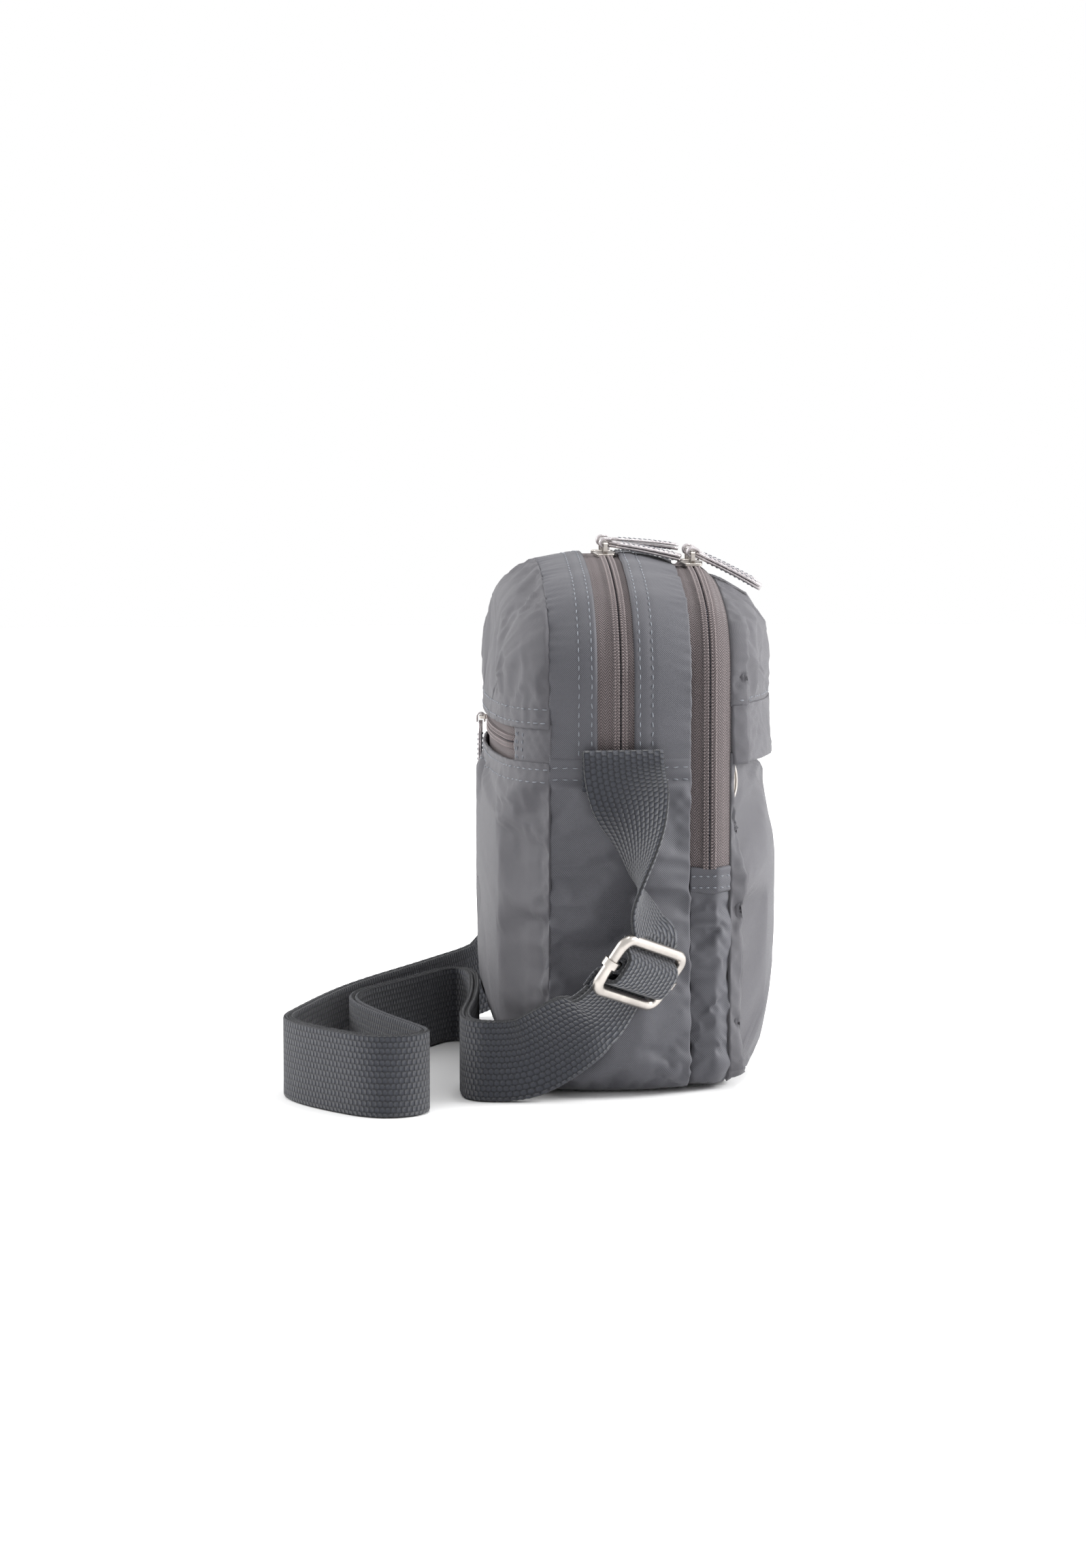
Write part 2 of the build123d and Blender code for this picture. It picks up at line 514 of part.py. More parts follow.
def make_strap():
    wide = (0, 1, 0)
    save("strap_anchor_near", web_anchor())
    face_x = -(BODY_HALF_W + 2.6 + WEB_T)
    top = [((face_x, MAIN_ZIP_Y - 0.5, 132.0), (0, 0, -1), wide, 0),
           ((face_x - 1, 8.5, 112.0), (0, -0.1, -1), (-0.2, 1, 0), 0),
           ((face_x - 3, 6.5, 92.0), (0, -0.1, -1), (-0.5, 0.8, 0), 0)]
    start = BUCKLE * Pos(0, BUCKLE_END, PASS_Z)
    down = tuple(-BUCKLE.y_dir)
    across = tuple(-BUCKLE.x_dir)
    top.append((tuple(start.position), down, across, 0))
    save("strap_drop", ribbon(top))
    pass_pts = [(BUCKLE_END, PASS_Z), (9.3, PASS_Z), (4.6, 4.6), (-4.6, 4.6), (-9.3, PASS_Z), (-BUCKLE_END, PASS_Z)]
    save("strap_buckle_pass", BUCKLE * webbing_profile(pass_pts, 1.6))
    tail_pts = [(-1.5, -2.3), (-3.4, -3.4), (-6.4, TAIL_Z), (-BUCKLE_END, TAIL_Z)]
    wrap = Rot(0, 90, 0) * Cylinder(BAR_R + 0.1 + WEB_T, WEB_W - 2.4)
    wrap -= Rot(0, 90, 0) * Cylinder(BAR_R + 0.1, WEB_W)
    tail = webbing_profile(tail_pts, 1.0)
    save("strap_bar_wrap", BUCKLE * (wrap + tail - Rot(0, 90, 0) * Cylinder(BAR_R + 0.1, WEB_W)))
    save("strap_buckle_frame", BUCKLE * wire_loop(BUCKLE_W, BUCKLE_H, BUCKLE_CORNER, BUCKLE_WIRE_R))
    save("strap_buckle_bar", BUCKLE * buckle_bar())

    layers = floor_layers()
    for name, z, side in (("outer", PASS_Z, -1), ("inner", TAIL_Z, 1)):
        end = BUCKLE * Pos(0, -BUCKLE_END, z)
        rise = [(tuple(end.position), down, across, 0),
                ((-100.0, 27.0, 31.0), (0.15, 0.9, -0.35), (0, 0.49, 0.87), side * LAYER),
                ((-96.5, 40.0, 21.0), (0.1, 1, -0.3), (0, 0.25, 0.97), side * LAYER),
                (FLOOR_ROUTE[0] + (WEB_W / 2,), (0.1047, 0.9945, 0), (0, 0, 1), side * LAYER)]
        save(f"strap_{name}_rise", ribbon(rise))
        last = Vector(*FLOOR_ROUTE[-1]) - Vector(*FLOOR_ROUTE[-2])
        far = [(FLOOR_ROUTE[-1] + (WEB_W / 2,), tuple(last.normalized()), (0, 0, 1), side * LAYER),
               ((109.0, 50.0, 20.0), (0.5, -0.85, 0.15), (0, 0.1, 1), side * LAYER),
               ((113.0, 33.0, 36.0), (0.1, -0.7, 0.7), (0, 0.7, 0.7), side * LAYER),
               ((110.0, 17.0, 62.0), (-0.15, -0.3, 0.95), (0, 0.95, 0.3), side * LAYER),
               ((RING_AT[0] - side * FOLD_R, RING_AT[1], RING_LOW_Z - 10), (0, 0, 1), (0, 1, 0), 0)]
        save(f"strap_{name}_return", ribbon(far))
    floor = sorted(layers, key=lambda s: s.center().Y, reverse=True)
    save("strap_outer_floor", floor[0])
    save("strap_inner_floor", floor[1])


def webbing_profile(points, radius):
    """Webbing that follows points (y, z) of a plane, full width along the plane's x."""
    line = FilletPolyline(*points, radius=radius)
    face = trace(line, WEB_T)
    return Rot(0, 0, 90) * Rot(90, 0, 0) * extrude(face, WEB_W / 2, both=True)


def web_anchor():
    """Hairpin of webbing that comes out of the cross seam and turns down over it."""
    inner_x, outer_x = BODY_HALF_W + 0.3 + WEB_T / 2, BODY_HALF_W + 2.6 + WEB_T
    points = [(-inner_x, 122.0), (-inner_x, 136.0), (-outer_x, 136.0), (-outer_x, 132.0)]
    line = FilletPolyline(*points, radius=1.15)
    face = trace(line, WEB_T)
    return Pos(0, MAIN_ZIP_Y - 0.5, 0) * Rot(90, 0, 0) * extrude(face, WEB_W / 2, both=True)


def wire_loop(width, height, corner, wire_r):
    """Round wire bent to a rounded rectangle, in the plane's x and y."""
    path = RectangleRounded(width - 2 * wire_r, height - 2 * wire_r, corner - wire_r).wire()
    start = Plane(path @ 0, z_dir=path % 0)
    return sweep(start * Circle(wire_r), path)


def buckle_bar():
    """Centre bar whose ends are curled round the frame's short sides."""
    side_x = BUCKLE_W / 2 - BUCKLE_WIRE_R
    bar = Rot(0, 90, 0) * Cylinder(BAR_R, 2 * side_x - 2 * BUCKLE_WIRE_R)
    for end in (-1, 1):
        curl = Pos(end * side_x, 0, 0) * Rot(90, 0, 0) * Cylinder(BUCKLE_WIRE_R + 1.1, 3.0)
        bar += curl
        bar -= Pos(end * side_x, 0, 0) * Rot(90, 0, 0) * Cylinder(BUCKLE_WIRE_R + 0.08, 9.0)
    return bar


def make_far_ring():
    ring = Rot(0, 0, 90) * Rot(90, 0, 0) * wire_loop(RING_W, RING_H, 4.5, WIRE_R)
    middle = Pos(RING_AT[0], RING_AT[1], (RING_TOP_Z + RING_LOW_Z) / 2)
    save("strap_ring", middle * ring)
    inner, outer = RING_AT[0] - FOLD_R, RING_AT[0] + FOLD_R
    save("strap_ring_tab", hairpin(((inner, 133.0), (outer - 3.4, 133.0)), -1, RING_TOP_Z))
    save("strap_ring_fold", hairpin(((inner, RING_LOW_Z - 6), (outer, RING_LOW_Z - 6)), 1, RING_LOW_Z))


def hairpin(ends, up, wire_z):
    """Webbing that turns round a ring's wire: up is 1 over it, -1 under it."""
    first, last = ends
    inner, outer = RING_AT[0] - FOLD_R, RING_AT[0] + FOLD_R
    line = Line(first, (inner, wire_z))
    line += ThreePointArc((inner, wire_z), (RING_AT[0], wire_z + up * FOLD_R), (outer, wire_z))
    line += Line((outer, wire_z), last)
    face = trace(line, WEB_T)
    return Pos(0, RING_AT[1], 0) * Rot(90, 0, 0) * extrude(face, WEB_W / 2, both=True)


make_gusset()
make_bindings()
make_pocket_gusset()
make_back_panel()
make_front_panel()
make_inside()
make_sliders()
make_strap()
make_far_ring()
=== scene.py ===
import math
import random
import bmesh
import bpy
import numpy as np
from mathutils import Matrix, Vector
from mathutils.bvhtree import BVHTree


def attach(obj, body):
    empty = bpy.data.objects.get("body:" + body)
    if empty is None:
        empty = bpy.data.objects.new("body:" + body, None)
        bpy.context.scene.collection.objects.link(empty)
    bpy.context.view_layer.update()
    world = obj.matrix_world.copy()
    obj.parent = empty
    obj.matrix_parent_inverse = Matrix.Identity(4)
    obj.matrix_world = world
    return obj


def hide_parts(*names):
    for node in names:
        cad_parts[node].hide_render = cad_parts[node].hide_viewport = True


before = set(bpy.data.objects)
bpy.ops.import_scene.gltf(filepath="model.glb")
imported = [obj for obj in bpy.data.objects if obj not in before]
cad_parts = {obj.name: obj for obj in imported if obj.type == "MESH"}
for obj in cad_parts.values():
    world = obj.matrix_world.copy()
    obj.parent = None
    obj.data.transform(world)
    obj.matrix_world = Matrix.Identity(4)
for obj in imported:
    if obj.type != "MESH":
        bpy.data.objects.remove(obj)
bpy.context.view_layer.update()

scene = bpy.context.scene
random.seed(7)
rng = np.random.default_rng(7)
MM = 0.001
DY = 0.12           # mm: the frame's own depth offset


def at(x, y, z):
    """A point of the bag, drawn in mm from the zip side's datum, in metres of the frame."""
    return np.array([x * MM, (y + DY) * MM, z * MM])


# ---- camera, floor and light --------------------------------------------------------
def make_camera():
    yaw, pitch = math.radians(4), math.radians(6)
    f = Vector((math.cos(pitch) * math.cos(yaw), -math.cos(pitch) * math.sin(yaw), -math.sin(pitch)))
    r = Vector((-math.sin(yaw), -math.cos(yaw), 0))
    u = r.cross(f)
    cam = bpy.data.objects.new("camera", bpy.data.cameras.new("camera"))
    cam.data.lens, cam.data.sensor_width = 82.46, 36
    cam.data.clip_start, cam.data.clip_end = 0.05, 30
    turn = Matrix((r, u, -f)).transposed().to_4x4()
    cam.matrix_world = Matrix.Translation((-1.4869, 0.1380, 0.2722)) @ turn
    scene.collection.objects.link(cam)
    scene.camera = cam


make_camera()


def floor():
    size, drop = 3.0, 0.0004
    mesh = bpy.data.meshes.new("floor")
    mesh.from_pydata([(-size, -size, -drop), (size, -size, -drop), (size, size, -drop), (-size, size, -drop)],
                     [], [(0, 1, 2, 3)])
    o = bpy.data.objects.new("floor", mesh)
    scene.collection.objects.link(o)
    m = bpy.data.materials.new("floor")
    m.use_nodes = True
    b = m.node_tree.nodes["Principled BSDF"]
    b.inputs["Base Color"].default_value = (0.93, 0.93, 0.93, 1)
    b.inputs["Roughness"].default_value = 0.9
    b.inputs["Specular IOR Level"].default_value = 0.1
    o.data.materials.append(m)


def lamp(name, at_, aim, size, power, colour=(1, 1, 1)):
    data = bpy.data.lights.new(name, "AREA")
    data.shape, data.size, data.energy, data.color = "SQUARE", size, power, colour
    o = bpy.data.objects.new(name, data)
    o.location = at_
    o.rotation_euler = (Vector(aim) - Vector(at_)).to_track_quat("-Z", "Y").to_euler()
    scene.collection.objects.link(o)


def light():
    world = bpy.data.worlds.new("studio")
    world.use_nodes = True
    world.node_tree.nodes["Background"].inputs[0].default_value = (1, 1, 1, 1)
    world.node_tree.nodes["Background"].inputs[1].default_value = 1.0
    scene.world = world
    lamp("front", (-0.1, -1.5, 0.8), (0, 0, 0.1), 0.6, 36)
    lamp("top", (0.1, -0.3, 1.7), (0, 0, 0.1), 0.5, 12)
    lamp("back", (0.5, 1.6, 0.9), (0, 0, 0.1), 0.7, 26)
    scene.view_settings.view_transform = "Standard"


floor()
light()


# ---- materials ----------------------------------------------------------------------
class Nodes:
    """Short helpers to put a node material together."""

    def __init__(self, name):
        self.mat = bpy.data.materials.new(name)
        self.mat.use_nodes = True
        self.tree = self.mat.node_tree
        self.shader = self.tree.nodes["Principled BSDF"]

    def new(self, kind, **values):
        n = self.tree.nodes.new(kind)
        for k, v in values.items():
            setattr(n, k, v)
        return n

    def link(self, a, b):
        self.tree.links.new(a, b)

    def put(self, socket, value):
        if isinstance(value, bpy.types.NodeSocket):
            self.link(value, socket)
        else:
            socket.default_value = value

    def math(self, op, a, b=0.0, c=0.0):
        n = self.new("ShaderNodeMath", operation=op)
        for socket, value in zip(n.inputs, (a, b, c)):
            self.put(socket, value)
        return n.outputs[0]

    def uv(self, turn=False):
        n = self.new("ShaderNodeSeparateXYZ")
        self.link(self.new("ShaderNodeTexCoord").outputs["UV"], n.inputs[0])
        u, v = n.outputs[0], n.outputs[1]
        return (v, u) if turn else (u, v)

    def noise(self, scale, detail=3.0, rough=0.55, coord="Object"):
        n = self.new("ShaderNodeTexNoise")
        n.inputs["Scale"].default_value = scale
        n.inputs["Detail"].default_value = detail
        n.inputs["Roughness"].default_value = rough
        self.link(self.new("ShaderNodeTexCoord").outputs[coord], n.inputs["Vector"])
        return n.outputs["Fac"]

    def ramp(self, fac, low, high, a=0.0, b=1.0):
        n = self.new("ShaderNodeMapRange")
        for i, v in enumerate((fac, a, b, low, high)):
            self.put(n.inputs[i], v)
        return n.outputs[0]

    def mix(self, fac, a, b):
        n = self.new("ShaderNodeMix", data_type="RGBA")
        self.put(n.inputs[0], fac)
        self.put(n.inputs[6], a)
        self.put(n.inputs[7], b)
        return n.outputs[2]

    def bump(self, height, strength, distance, normal=None):
        n = self.new("ShaderNodeBump")
        n.inputs["Strength"].default_value = strength
        n.inputs["Distance"].default_value = distance
        self.put(n.inputs["Height"], height)
        if normal is not None:
            self.link(normal, n.inputs["Normal"])
        return n.outputs[0]

    def finish(self, colour, rough, normal=None, metal=0.0, sheen=0.0, spec=0.5):
        s = self.shader.inputs
        self.put(s["Base Color"], colour)
        self.put(s["Roughness"], rough)
        self.put(s["Metallic"], metal)
        self.put(s["Specular IOR Level"], spec)
        s["Sheen Weight"].default_value = sheen
        s["Sheen Roughness"].default_value = 0.4
        if normal is not None:
            self.link(normal, s["Normal"])
        return self.mat


def rgb(r, g, b, gain=1.0):
    """Linear colour from 8-bit screen values."""
    lin = [((v / 255 + 0.055) / 1.055) ** 2.4 if v > 10 else v / 255 / 12.92 for v in (r, g, b)]
    return tuple(gain * v for v in lin) + (1.0,)


def weave(n, u, v, pitch):
    """Plain weave: threads that pass over and under each other. u and v are in mm."""
    a = n.math("SINE", n.math("MULTIPLY", u, 2 * math.pi / pitch))
    b = n.math("SINE", n.math("MULTIPLY", v, 2 * math.pi / pitch))
    return n.math("MULTIPLY_ADD", n.math("MULTIPLY", a, b), 0.5, 0.5)


def nylon(name, base, pitch=0.8, sheen=0.1):
    n = Nodes(name)
    u, v = n.uv()
    cloth = weave(n, u, v, pitch)
    soft = n.noise(28, 4)
    fine = n.noise(900, 2)
    # painted shade and highlight: the weave's low points take a darker colour and its raised threads a paler
    # one, following the same pattern as the bump
    painted_shade = tuple(0.42 * c for c in base[:3]) + (1,)
    pale = tuple(min(1, 1.4 * c) for c in base[:3]) + (1,)
    thread = n.mix(n.ramp(cloth, 0, 1, 0.1, 0.9), painted_shade, pale)
    colour = n.mix(n.ramp(soft, 0.0, 0.12), thread, base)
    colour = n.mix(n.ramp(fine, 0.0, 0.16, 0.4, 0.8), colour, pale)
    rough = n.ramp(soft, 0.50, 0.66)
    first = n.bump(cloth, 0.6, 0.0002)
    normal = n.bump(soft, 0.2, 0.001, first)
    return n.finish(colour, rough, normal, sheen=sheen, spec=0.42)


def webbing_material(name, base):
    """Coarse brick-like webbing with painted shade in the grooves between the yarns and some fluff."""
    n = Nodes(name)
    u, v = n.uv()
    row = n.math("FLOOR", n.math("DIVIDE", v, 2.3))
    shift = n.math("MULTIPLY", n.math("MODULO", n.math("ADD", row, 40.0), 2.0), 0.5)
    cu = n.math("SUBTRACT", n.math("FRACT", n.math("ADD", n.math("DIVIDE", u, 2.1), shift)), 0.5)
    cv = n.math("SUBTRACT", n.math("FRACT", n.math("DIVIDE", v, 2.3)), 0.5)
    du = n.math("MULTIPLY", n.math("MULTIPLY", cu, cu), 4.0)
    dv = n.math("MULTIPLY", n.math("MULTIPLY", cv, cv), 4.0)
    hump = n.math("MULTIPLY", n.math("SUBTRACT", 1.0, du), n.math("SUBTRACT", 1.0, dv))
    fibre = n.math("SINE", n.math("MULTIPLY", n.math("ADD", u, n.math("MULTIPLY", v, 0.5)), 22.0))
    height = n.math("ADD", hump, n.math("MULTIPLY", fibre, 0.06))
    soft = n.noise(60, 3)
    fluff = n.noise(2600, 2)
    painted_shade = tuple(0.30 * c for c in base[:3]) + (1,)
    pale = tuple(min(1, 1.30 * c) for c in base[:3]) + (1,)
    # painted shade: the colour darkens towards the grooves between the yarns, where the bump is lowest
    colour = n.mix(n.ramp(hump, 0, 1, 0.05, 0.62), painted_shade, base)
    colour = n.mix(n.ramp(fluff, 0, 0.35, 0.45, 0.75), colour, pale)
    colour = n.mix(n.ramp(soft, 0, 0.22), colour, pale)
    normal = n.bump(height, 1.0, 0.0009)
    normal = n.bump(fluff, 0.3, 0.0003, normal)
    return n.finish(colour, 0.86, normal, sheen=0.3, spec=0.25)


def tape_material(name, base):
    """Herringbone zip tape: u runs along the zip, v across it, both in mm."""
    n = Nodes(name)
    u, v = n.uv()
    zig = n.math("ABSOLUTE", n.math("SUBTRACT", n.math("FRACT", n.math("DIVIDE", v, 3.4)), 0.5))
    line = n.math("SINE", n.math("MULTIPLY", n.math("MULTIPLY_ADD", zig, 4.4, u), 2 * math.pi / 1.15))
    soft = n.noise(60, 3)
    # painted shade and highlight: the herringbone's low lines are darker and its raised lines paler,
    # following the bump
    painted_shade = tuple(0.40 * c for c in base[:3]) + (1,)
    pale = tuple(min(1, 1.45 * c) for c in base[:3]) + (1,)
    colour = n.mix(n.ramp(line, 0, 1, -0.8, 0.8), painted_shade, pale)
    colour = n.mix(n.ramp(soft, 0.0, 0.15), colour, base)
    return n.finish(colour, 0.75, n.bump(line, 0.9, 0.0004), sheen=0.15, spec=0.3)


def thread_material(name, base):
    n = Nodes(name)
    twist = n.noise(2400, 2)
    pale = tuple(min(1, 1.35 * c) for c in base[:3]) + (1,)
    return n.finish(n.mix(twist, base, pale), 0.6, n.bump(twist, 0.3, 0.0001), sheen=0.2)


def metal(name, base, rough=0.28):
    n = Nodes(name)
    fine = n.noise(1400, 2)
    soft = n.noise(120, 4)
    dull = tuple(0.72 * c for c in base[:3]) + (1,)
    colour = n.mix(n.ramp(soft, 0, 1, 0.35, 0.75), base, dull)
    return n.finish(colour, n.ramp(soft, rough - 0.06, rough + 0.14), n.bump(fine, 0.12, 0.0001), metal=1.0)


def leather(name, base):
    """Foil-coated leather: a fine pebble grain under a silvery skin."""
    n = Nodes(name)
    cells = n.new("ShaderNodeTexVoronoi")
    cells.inputs["Scale"].default_value = 1500
    n.link(n.new("ShaderNodeTexCoord").outputs["Object"], cells.inputs["Vector"])
    soft = n.noise(260, 4)
    worn = tuple(0.55 * c for c in base[:3]) + (1,)
    colour = n.mix(n.ramp(soft, 0, 1, 0.45, 0.75), base, worn)
    grain = n.bump(cells.outputs["Distance"], 0.35, 0.0003)
    return n.finish(colour, n.ramp(soft, 0.28, 0.5), grain, metal=0.75)


GREY = rgb(74, 74, 80)
MAT = {
    "shell": nylon("shell_nylon", GREY),
    "panel": nylon("panel_nylon", rgb(78, 77, 82), pitch=0.5, sheen=0.12),
    "lining": nylon("lining_cloth", rgb(70, 70, 76), pitch=0.8),
    "web": webbing_material("webbing", rgb(60, 62, 69)),
    "tape": tape_material("zip_tape", rgb(112, 102, 103)),
    "thread": thread_material("thread", rgb(104, 108, 115)),
    "web_thread": thread_material("web_thread", rgb(84, 88, 98)),
    "chain": thread_material("chain_thread", rgb(112, 102, 102)),
    "coil": metal("coil", rgb(70, 68, 74), 0.3),
    "metal": metal("satin_nickel", rgb(196, 190, 184)),
    "leather": leather("silver_leather", rgb(190, 184, 186)),
    "board": thread_material("board", rgb(60, 60, 62)),
}


# ---- mesh helpers -------------------------------------------------------------------
def put(name, verts, faces, mat, uvs=None, body="bag", smooth=True, slot=None):
    mesh = bpy.data.meshes.new(name)
    mesh.from_pydata([tuple(v) for v in verts], [], [tuple(f) for f in faces])
    if uvs is not None:
        layer = mesh.uv_layers.new(name="UVMap")
        index = np.empty(len(mesh.loops), dtype=np.int64)
        mesh.loops.foreach_get("vertex_index", index)
        layer.data.foreach_set("uv", np.asarray(uvs, dtype=np.float32)[index].ravel())
    mesh.materials.append(MAT[mat])
    mesh.validate()
    o = bpy.data.objects.new(name, mesh)
    scene.collection.objects.link(o)
    if smooth:
        mesh.shade_smooth()
    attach(o, body)
    return o


def normals(grid):
    """Unit normals of an (n, m, 3) grid."""
    du = np.gradient(grid, axis=0)
    dv = np.gradient(grid, axis=1)
    n = np.cross(du, dv)
    return n / np.maximum(np.linalg.norm(n, axis=2, keepdims=True), 1e-12)


def shell(grid, uv, thick, closed=False):
    """Vertices, faces and uvs of a sheet with a front, a back and rims."""
    n, m = grid.shape[:2]
    inner = grid - normals(grid) * thick
    verts = np.concatenate([grid.reshape(-1, 3), inner.reshape(-1, 3)])
    uvs = np.concatenate([uv.reshape(-1, 2)] * 2)
    k = n * m
    faces = []
    rows = n if closed else n - 1
    for i in range(rows):
        a, b = i * m, ((i + 1) % n) * m
        for j in range(m - 1):
            faces.append((a + j, b + j, b + j + 1, a + j + 1))
            faces.append((k + a + j, k + a + j + 1, k + b + j + 1, k + b + j))
        faces.append((a, k + a, k + b, b))
        faces.append((a + m - 1, b + m - 1, k + b + m - 1, k + a + m - 1))
    if not closed:
        for j in range(m - 1):
            faces.append((j, j + 1, k + j + 1, k + j))
            c = (n - 1) * m
            faces.append((c + j, k + c + j, k + c + j + 1, c + j + 1))
    return verts, faces, uvs


def dist(points):
    """Running length along points."""
    step = np.linalg.norm(np.diff(points, axis=0), axis=1)
    return np.concatenate([[0], np.cumsum(step)])


def smoothstep(x):
    x = np.clip(x, 0, 1)
    return x * x * (3 - 2 * x)


# ---- outlines -----------------------------------------------------------------------
BODY = (90.0, 213.0, 170.0, 40.0, 16.0)
POCKET = (82.5, 208.0, 165.0, 32.0, 16.0)


class Outline:
    """Front-view outline of a bag part, moved in by inset; the base is raised."""

    def __init__(self, kind, inset, raised):
        hw, top, ra, rs, rb = kind
        self.hw = hw - inset
        self.bottom, self.top = raised, top - inset
        self.ra = ra - inset
        self.rs = min(max(rs - inset, 4), 0.9 * self.hw)
        self.rb = min(max(rb - inset, 3), 0.9 * self.hw)
        self.cz = self.top - self.ra
        self.lean = math.asin((self.hw - self.rs) / (self.ra - self.rs))
        self.sz = self.cz + (self.ra - self.rs) * math.cos(self.lean)

    def half(self, t):
        """Point on the +X half. t is 0..5: base, base arc, side, shoulder, arch."""
        k, f = int(min(t, 4.999999)), t - int(min(t, 4.999999))
        if k == 0:
            return (self.hw - self.rb) * f, self.bottom
        if k == 1:
            a = f * math.pi / 2
            return self.hw - self.rb + self.rb * math.sin(a), self.bottom + self.rb * (1 - math.cos(a))
        if k == 2:
            return self.hw, self.bottom + self.rb + (self.sz - self.bottom - self.rb) * f
        if k == 3:
            a = math.pi / 2 + (self.lean - math.pi / 2) * f
            return self.hw - self.rs + self.rs * math.sin(a), self.sz + self.rs * math.cos(a)
        a = self.lean * (1 - f)
        return self.ra * math.sin(a), self.cz + self.ra * math.cos(a)

    def side_t(self, z):
        """Parameter of the straight side's point at height z."""
        return 2 + (z - self.bottom - self.rb) / (self.sz - self.bottom - self.rb)


def spread(kind, t0, t1, step):
    """Parameters from t0 to t1 that are about step mm apart on the outline."""
    o = Outline(kind, 0, 0)
    ts = np.linspace(t0, t1, 1600)
    pts = np.array([o.half(t) for t in ts])
    s = dist(pts)
    return np.interp(np.linspace(0, s[-1], int(s[-1] / step) + 1), s, ts)


def half_loop(outline, ts, mirror=False):
    pts = np.array([outline.half(t) for t in ts])
    if mirror:
        pts = pts * (-1, 1)
    return pts


def u_loop(kind, inset, raised, cut, step):
    """From the -X side at height cut, down, round the base and up the +X side."""
    o = Outline(kind, inset, raised)
    ref = Outline(kind, 0, 0)
    ts = spread(kind, 0, ref.side_t(cut), step)
    ts = np.where(ts > 2, 2 + (ts - 2) * (o.side_t(cut) - 2) / (ref.side_t(cut) - 2), ts)
    right = half_loop(o, ts)
    left = half_loop(o, ts, True)[::-1]
    return np.concatenate([left[:-1], right])


def arch_loop(kind, inset, cut, step, raised=0.0):
    """From the -X side at height cut, up and over the top, to the +X side."""
    o = Outline(kind, inset, raised)
    ref = Outline(kind, 0, 0)
    t_cut = ref.side_t(cut)
    ts = spread(kind, t_cut, 5, step)
    low = o.side_t(cut)
    ts = np.where(ts < 3, low + (ts - t_cut) * (3 - low) / (3 - t_cut), ts)
    right = half_loop(o, ts)
    left = half_loop(o, ts, True)
    return np.concatenate([left[:-1], right[::-1]])


# ---- cloth --------------------------------------------------------------------------
def settle(name, verts, faces, pin, slack, pressure=0.0, frames=18, cap=2.0, bend=0.3):
    """Cloth run on a mesh in mm: pinned where pin is near 1, with slack added. Returns the
    new vertices, no further than cap mm from where they began."""
    verts = np.asarray(verts, float)
    mesh = bpy.data.meshes.new(name)
    mesh.from_pydata([tuple(v * 0.01) for v in verts], [], faces)
    o = bpy.data.objects.new(name, mesh)
    scene.collection.objects.link(o)
    group = o.vertex_groups.new(name="pin")
    for i, w in enumerate(pin):
        group.add([i], float(w), "REPLACE")
    mod = o.modifiers.new("cloth", "CLOTH")
    s = mod.settings
    s.quality, s.mass = 6, 0.2
    s.tension_stiffness = s.compression_stiffness = 25
    s.shear_stiffness, s.bending_stiffness = 12, bend
    s.vertex_group_mass, s.pin_stiffness = "pin", 1.0
    s.shrink_min = -slack
    s.effector_weights.gravity = 0
    if pressure:
        s.use_pressure = True
        s.uniform_pressure_force = pressure
    mod.collision_settings.use_collision = False
    mod.point_cache.frame_start, mod.point_cache.frame_end = 1, frames
    for f in range(1, frames + 1):
        scene.frame_set(f)
    deps = bpy.context.evaluated_depsgraph_get()
    out = o.evaluated_get(deps).to_mesh()
    new = np.empty(len(out.vertices) * 3)
    out.vertices.foreach_get("co", new)
    new = new.reshape(-1, 3) * 100
    bpy.data.objects.remove(o)
    scene.frame_set(1)
    move = new - verts
    size = np.linalg.norm(move, axis=1, keepdims=True)
    return verts + move * np.minimum(1, cap / np.maximum(size, 1e-9))


def refine(grid, factor):
    """A grid with factor times as many rows and columns, by cubic interpolation."""
    def along(g):
        n = g.shape[0]
        t = np.linspace(0, n - 1, (n - 1) * factor + 1)
        i = np.clip(t.astype(int), 0, n - 2)
        f = (t - i)[:, None, None]
        p0, p1 = g[np.maximum(i - 1, 0)], g[i]
        p2, p3 = g[i + 1], g[np.minimum(i + 2, n - 1)]
        return p1 + 0.5 * f * (p2 - p0 + f * (2 * p0 - 5 * p1 + 4 * p2 - p3 + f * (3 * (p1 - p2) + p3 - p0)))
    g = along(grid)
    return along(g.transpose(1, 0, 2)).transpose(1, 0, 2)


def grid_faces(n, m):
    return [(i * m + j, (i + 1) * m + j, (i + 1) * m + j + 1, i * m + j + 1)
            for i in range(n - 1) for j in range(m - 1)]


def waves(s, t, seed, scale, terms=7):
    """Smooth uneven waves over (s, t) in mm, about -1 to 1."""
    r = np.random.default_rng(seed)
    out = np.zeros(np.broadcast(s, t).shape)
    for _ in range(terms):
        a, b = r.normal(0, 1, 2) / scale
        out = out + r.uniform(0.5, 1) * np.sin(s * a * 6.28 + t * b * 6.28 + r.uniform(0, 6.28))
    return out / math.sqrt(terms)


# ---- bands of cloth round an outline ------------------------------------------------
def band_grid(loop_of, ys, inset_of, step_y=0.7):
    """Grid of a band in mm: rows along the loop, columns across the depth."""
    y0, y1 = ys
    count = max(3, int(abs(y1 - y0) / step_y) + 1)
    cols = np.linspace(y0, y1, count)
    loops = [loop_of(inset_of(y)) for y in cols]
    sheets = [np.column_stack([p[:, 0], np.full(len(p), y), p[:, 1]]) for p, y in zip(loops, cols)]
    grid = np.stack(sheets, axis=1)
    return grid


